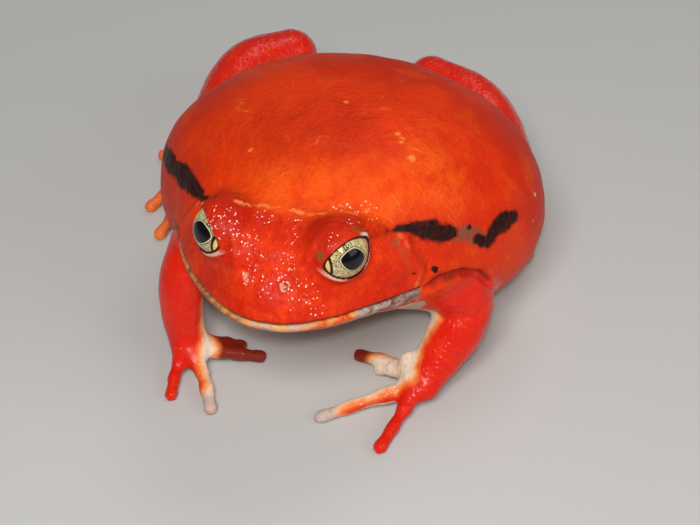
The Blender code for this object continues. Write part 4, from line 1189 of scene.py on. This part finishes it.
# Floor
# A plain pale table top that the frog sits on.
FLOOR_HALF = 1.5
FLOOR_COLOURS = ((0.50, 0.49, 0.47, 1), (0.54, 0.53, 0.51, 1))

corners = np.array([(-1, -1, 0), (1, -1, 0), (1, 1, 0), (-1, 1, 0)]) * FLOOR_HALF
floor = new_object("floor", corners, [(0, 1, 2, 3)])
floor_finish, tree, shader = new_finish("pale_floor", {"Roughness": 0.7})
tree.links.new(blend_colour(tree, noise(tree, scale=6.0), *FLOOR_COLOURS), shader.inputs["Base Color"])
floor.data.materials.append(floor_finish)

# Light
# Soft studio light: a broad key from above the camera, a weak fill, a broad light from
# above and behind, and a small one near the camera that gives the moist skin its sparks.


def lamp(name, place, aim, size, power):
    """A square area light at a place, turned to face the aim."""
    light = bpy.data.lights.new(name, "AREA")
    light.size = size
    light.energy = power
    lamp_object = bpy.data.objects.new(name, light)
    lamp_object.location = place
    direction = Vector(aim) - Vector(place)
    lamp_object.rotation_euler = direction.to_track_quat("-Z", "Y").to_euler()
    bpy.context.scene.collection.objects.link(lamp_object)


AIM = (0.0, -0.010, 0.02)
lamp("key", (0.04, -0.36, 0.46), AIM, 0.16, 1.85)
lamp("fill", (0.50, -0.15, 0.35), AIM, 0.40, 0.75)
lamp("top", (0.05, 0.35, 0.60), AIM, 0.30, 0.75)
lamp("spark", (0.09, -0.30, 0.32), AIM, 0.02, 0.55)
world = bpy.data.worlds.new("studio")
world.use_nodes = True
world.node_tree.nodes["Background"].inputs["Color"].default_value = (0.95, 0.97, 1.0, 1.0)
world.node_tree.nodes["Background"].inputs["Strength"].default_value = 0.12
bpy.context.scene.world = world
bpy.context.scene.view_settings.view_transform = "Standard"

# Camera
# The camera looks down at the frog from ahead and a little to its left.
CAMERA_AZIMUTH = 17.0
CAMERA_HEIGHT = 43.0
CAMERA_AWAY = 378.0
CAMERA_AIM = (4.35, -19.4, 18.0)
CAMERA_LENS = 104.04
CAMERA_SENSOR = 36.0

turn = math.radians(CAMERA_AZIMUTH)
tilt = math.radians(CAMERA_HEIGHT)
backwards = np.array([math.sin(turn) * math.cos(tilt), -math.cos(turn) * math.cos(tilt), math.sin(tilt)])
camera = bpy.data.objects.new("camera", bpy.data.cameras.new("camera"))
camera.data.lens = CAMERA_LENS
camera.data.sensor_width = CAMERA_SENSOR
camera.data.clip_start = 0.01
camera.location = (np.array(CAMERA_AIM) + backwards * CAMERA_AWAY) * MM
camera.rotation_euler = (math.pi / 2 - tilt, 0.0, turn)
bpy.context.scene.collection.objects.link(camera)
bpy.context.scene.camera = camera
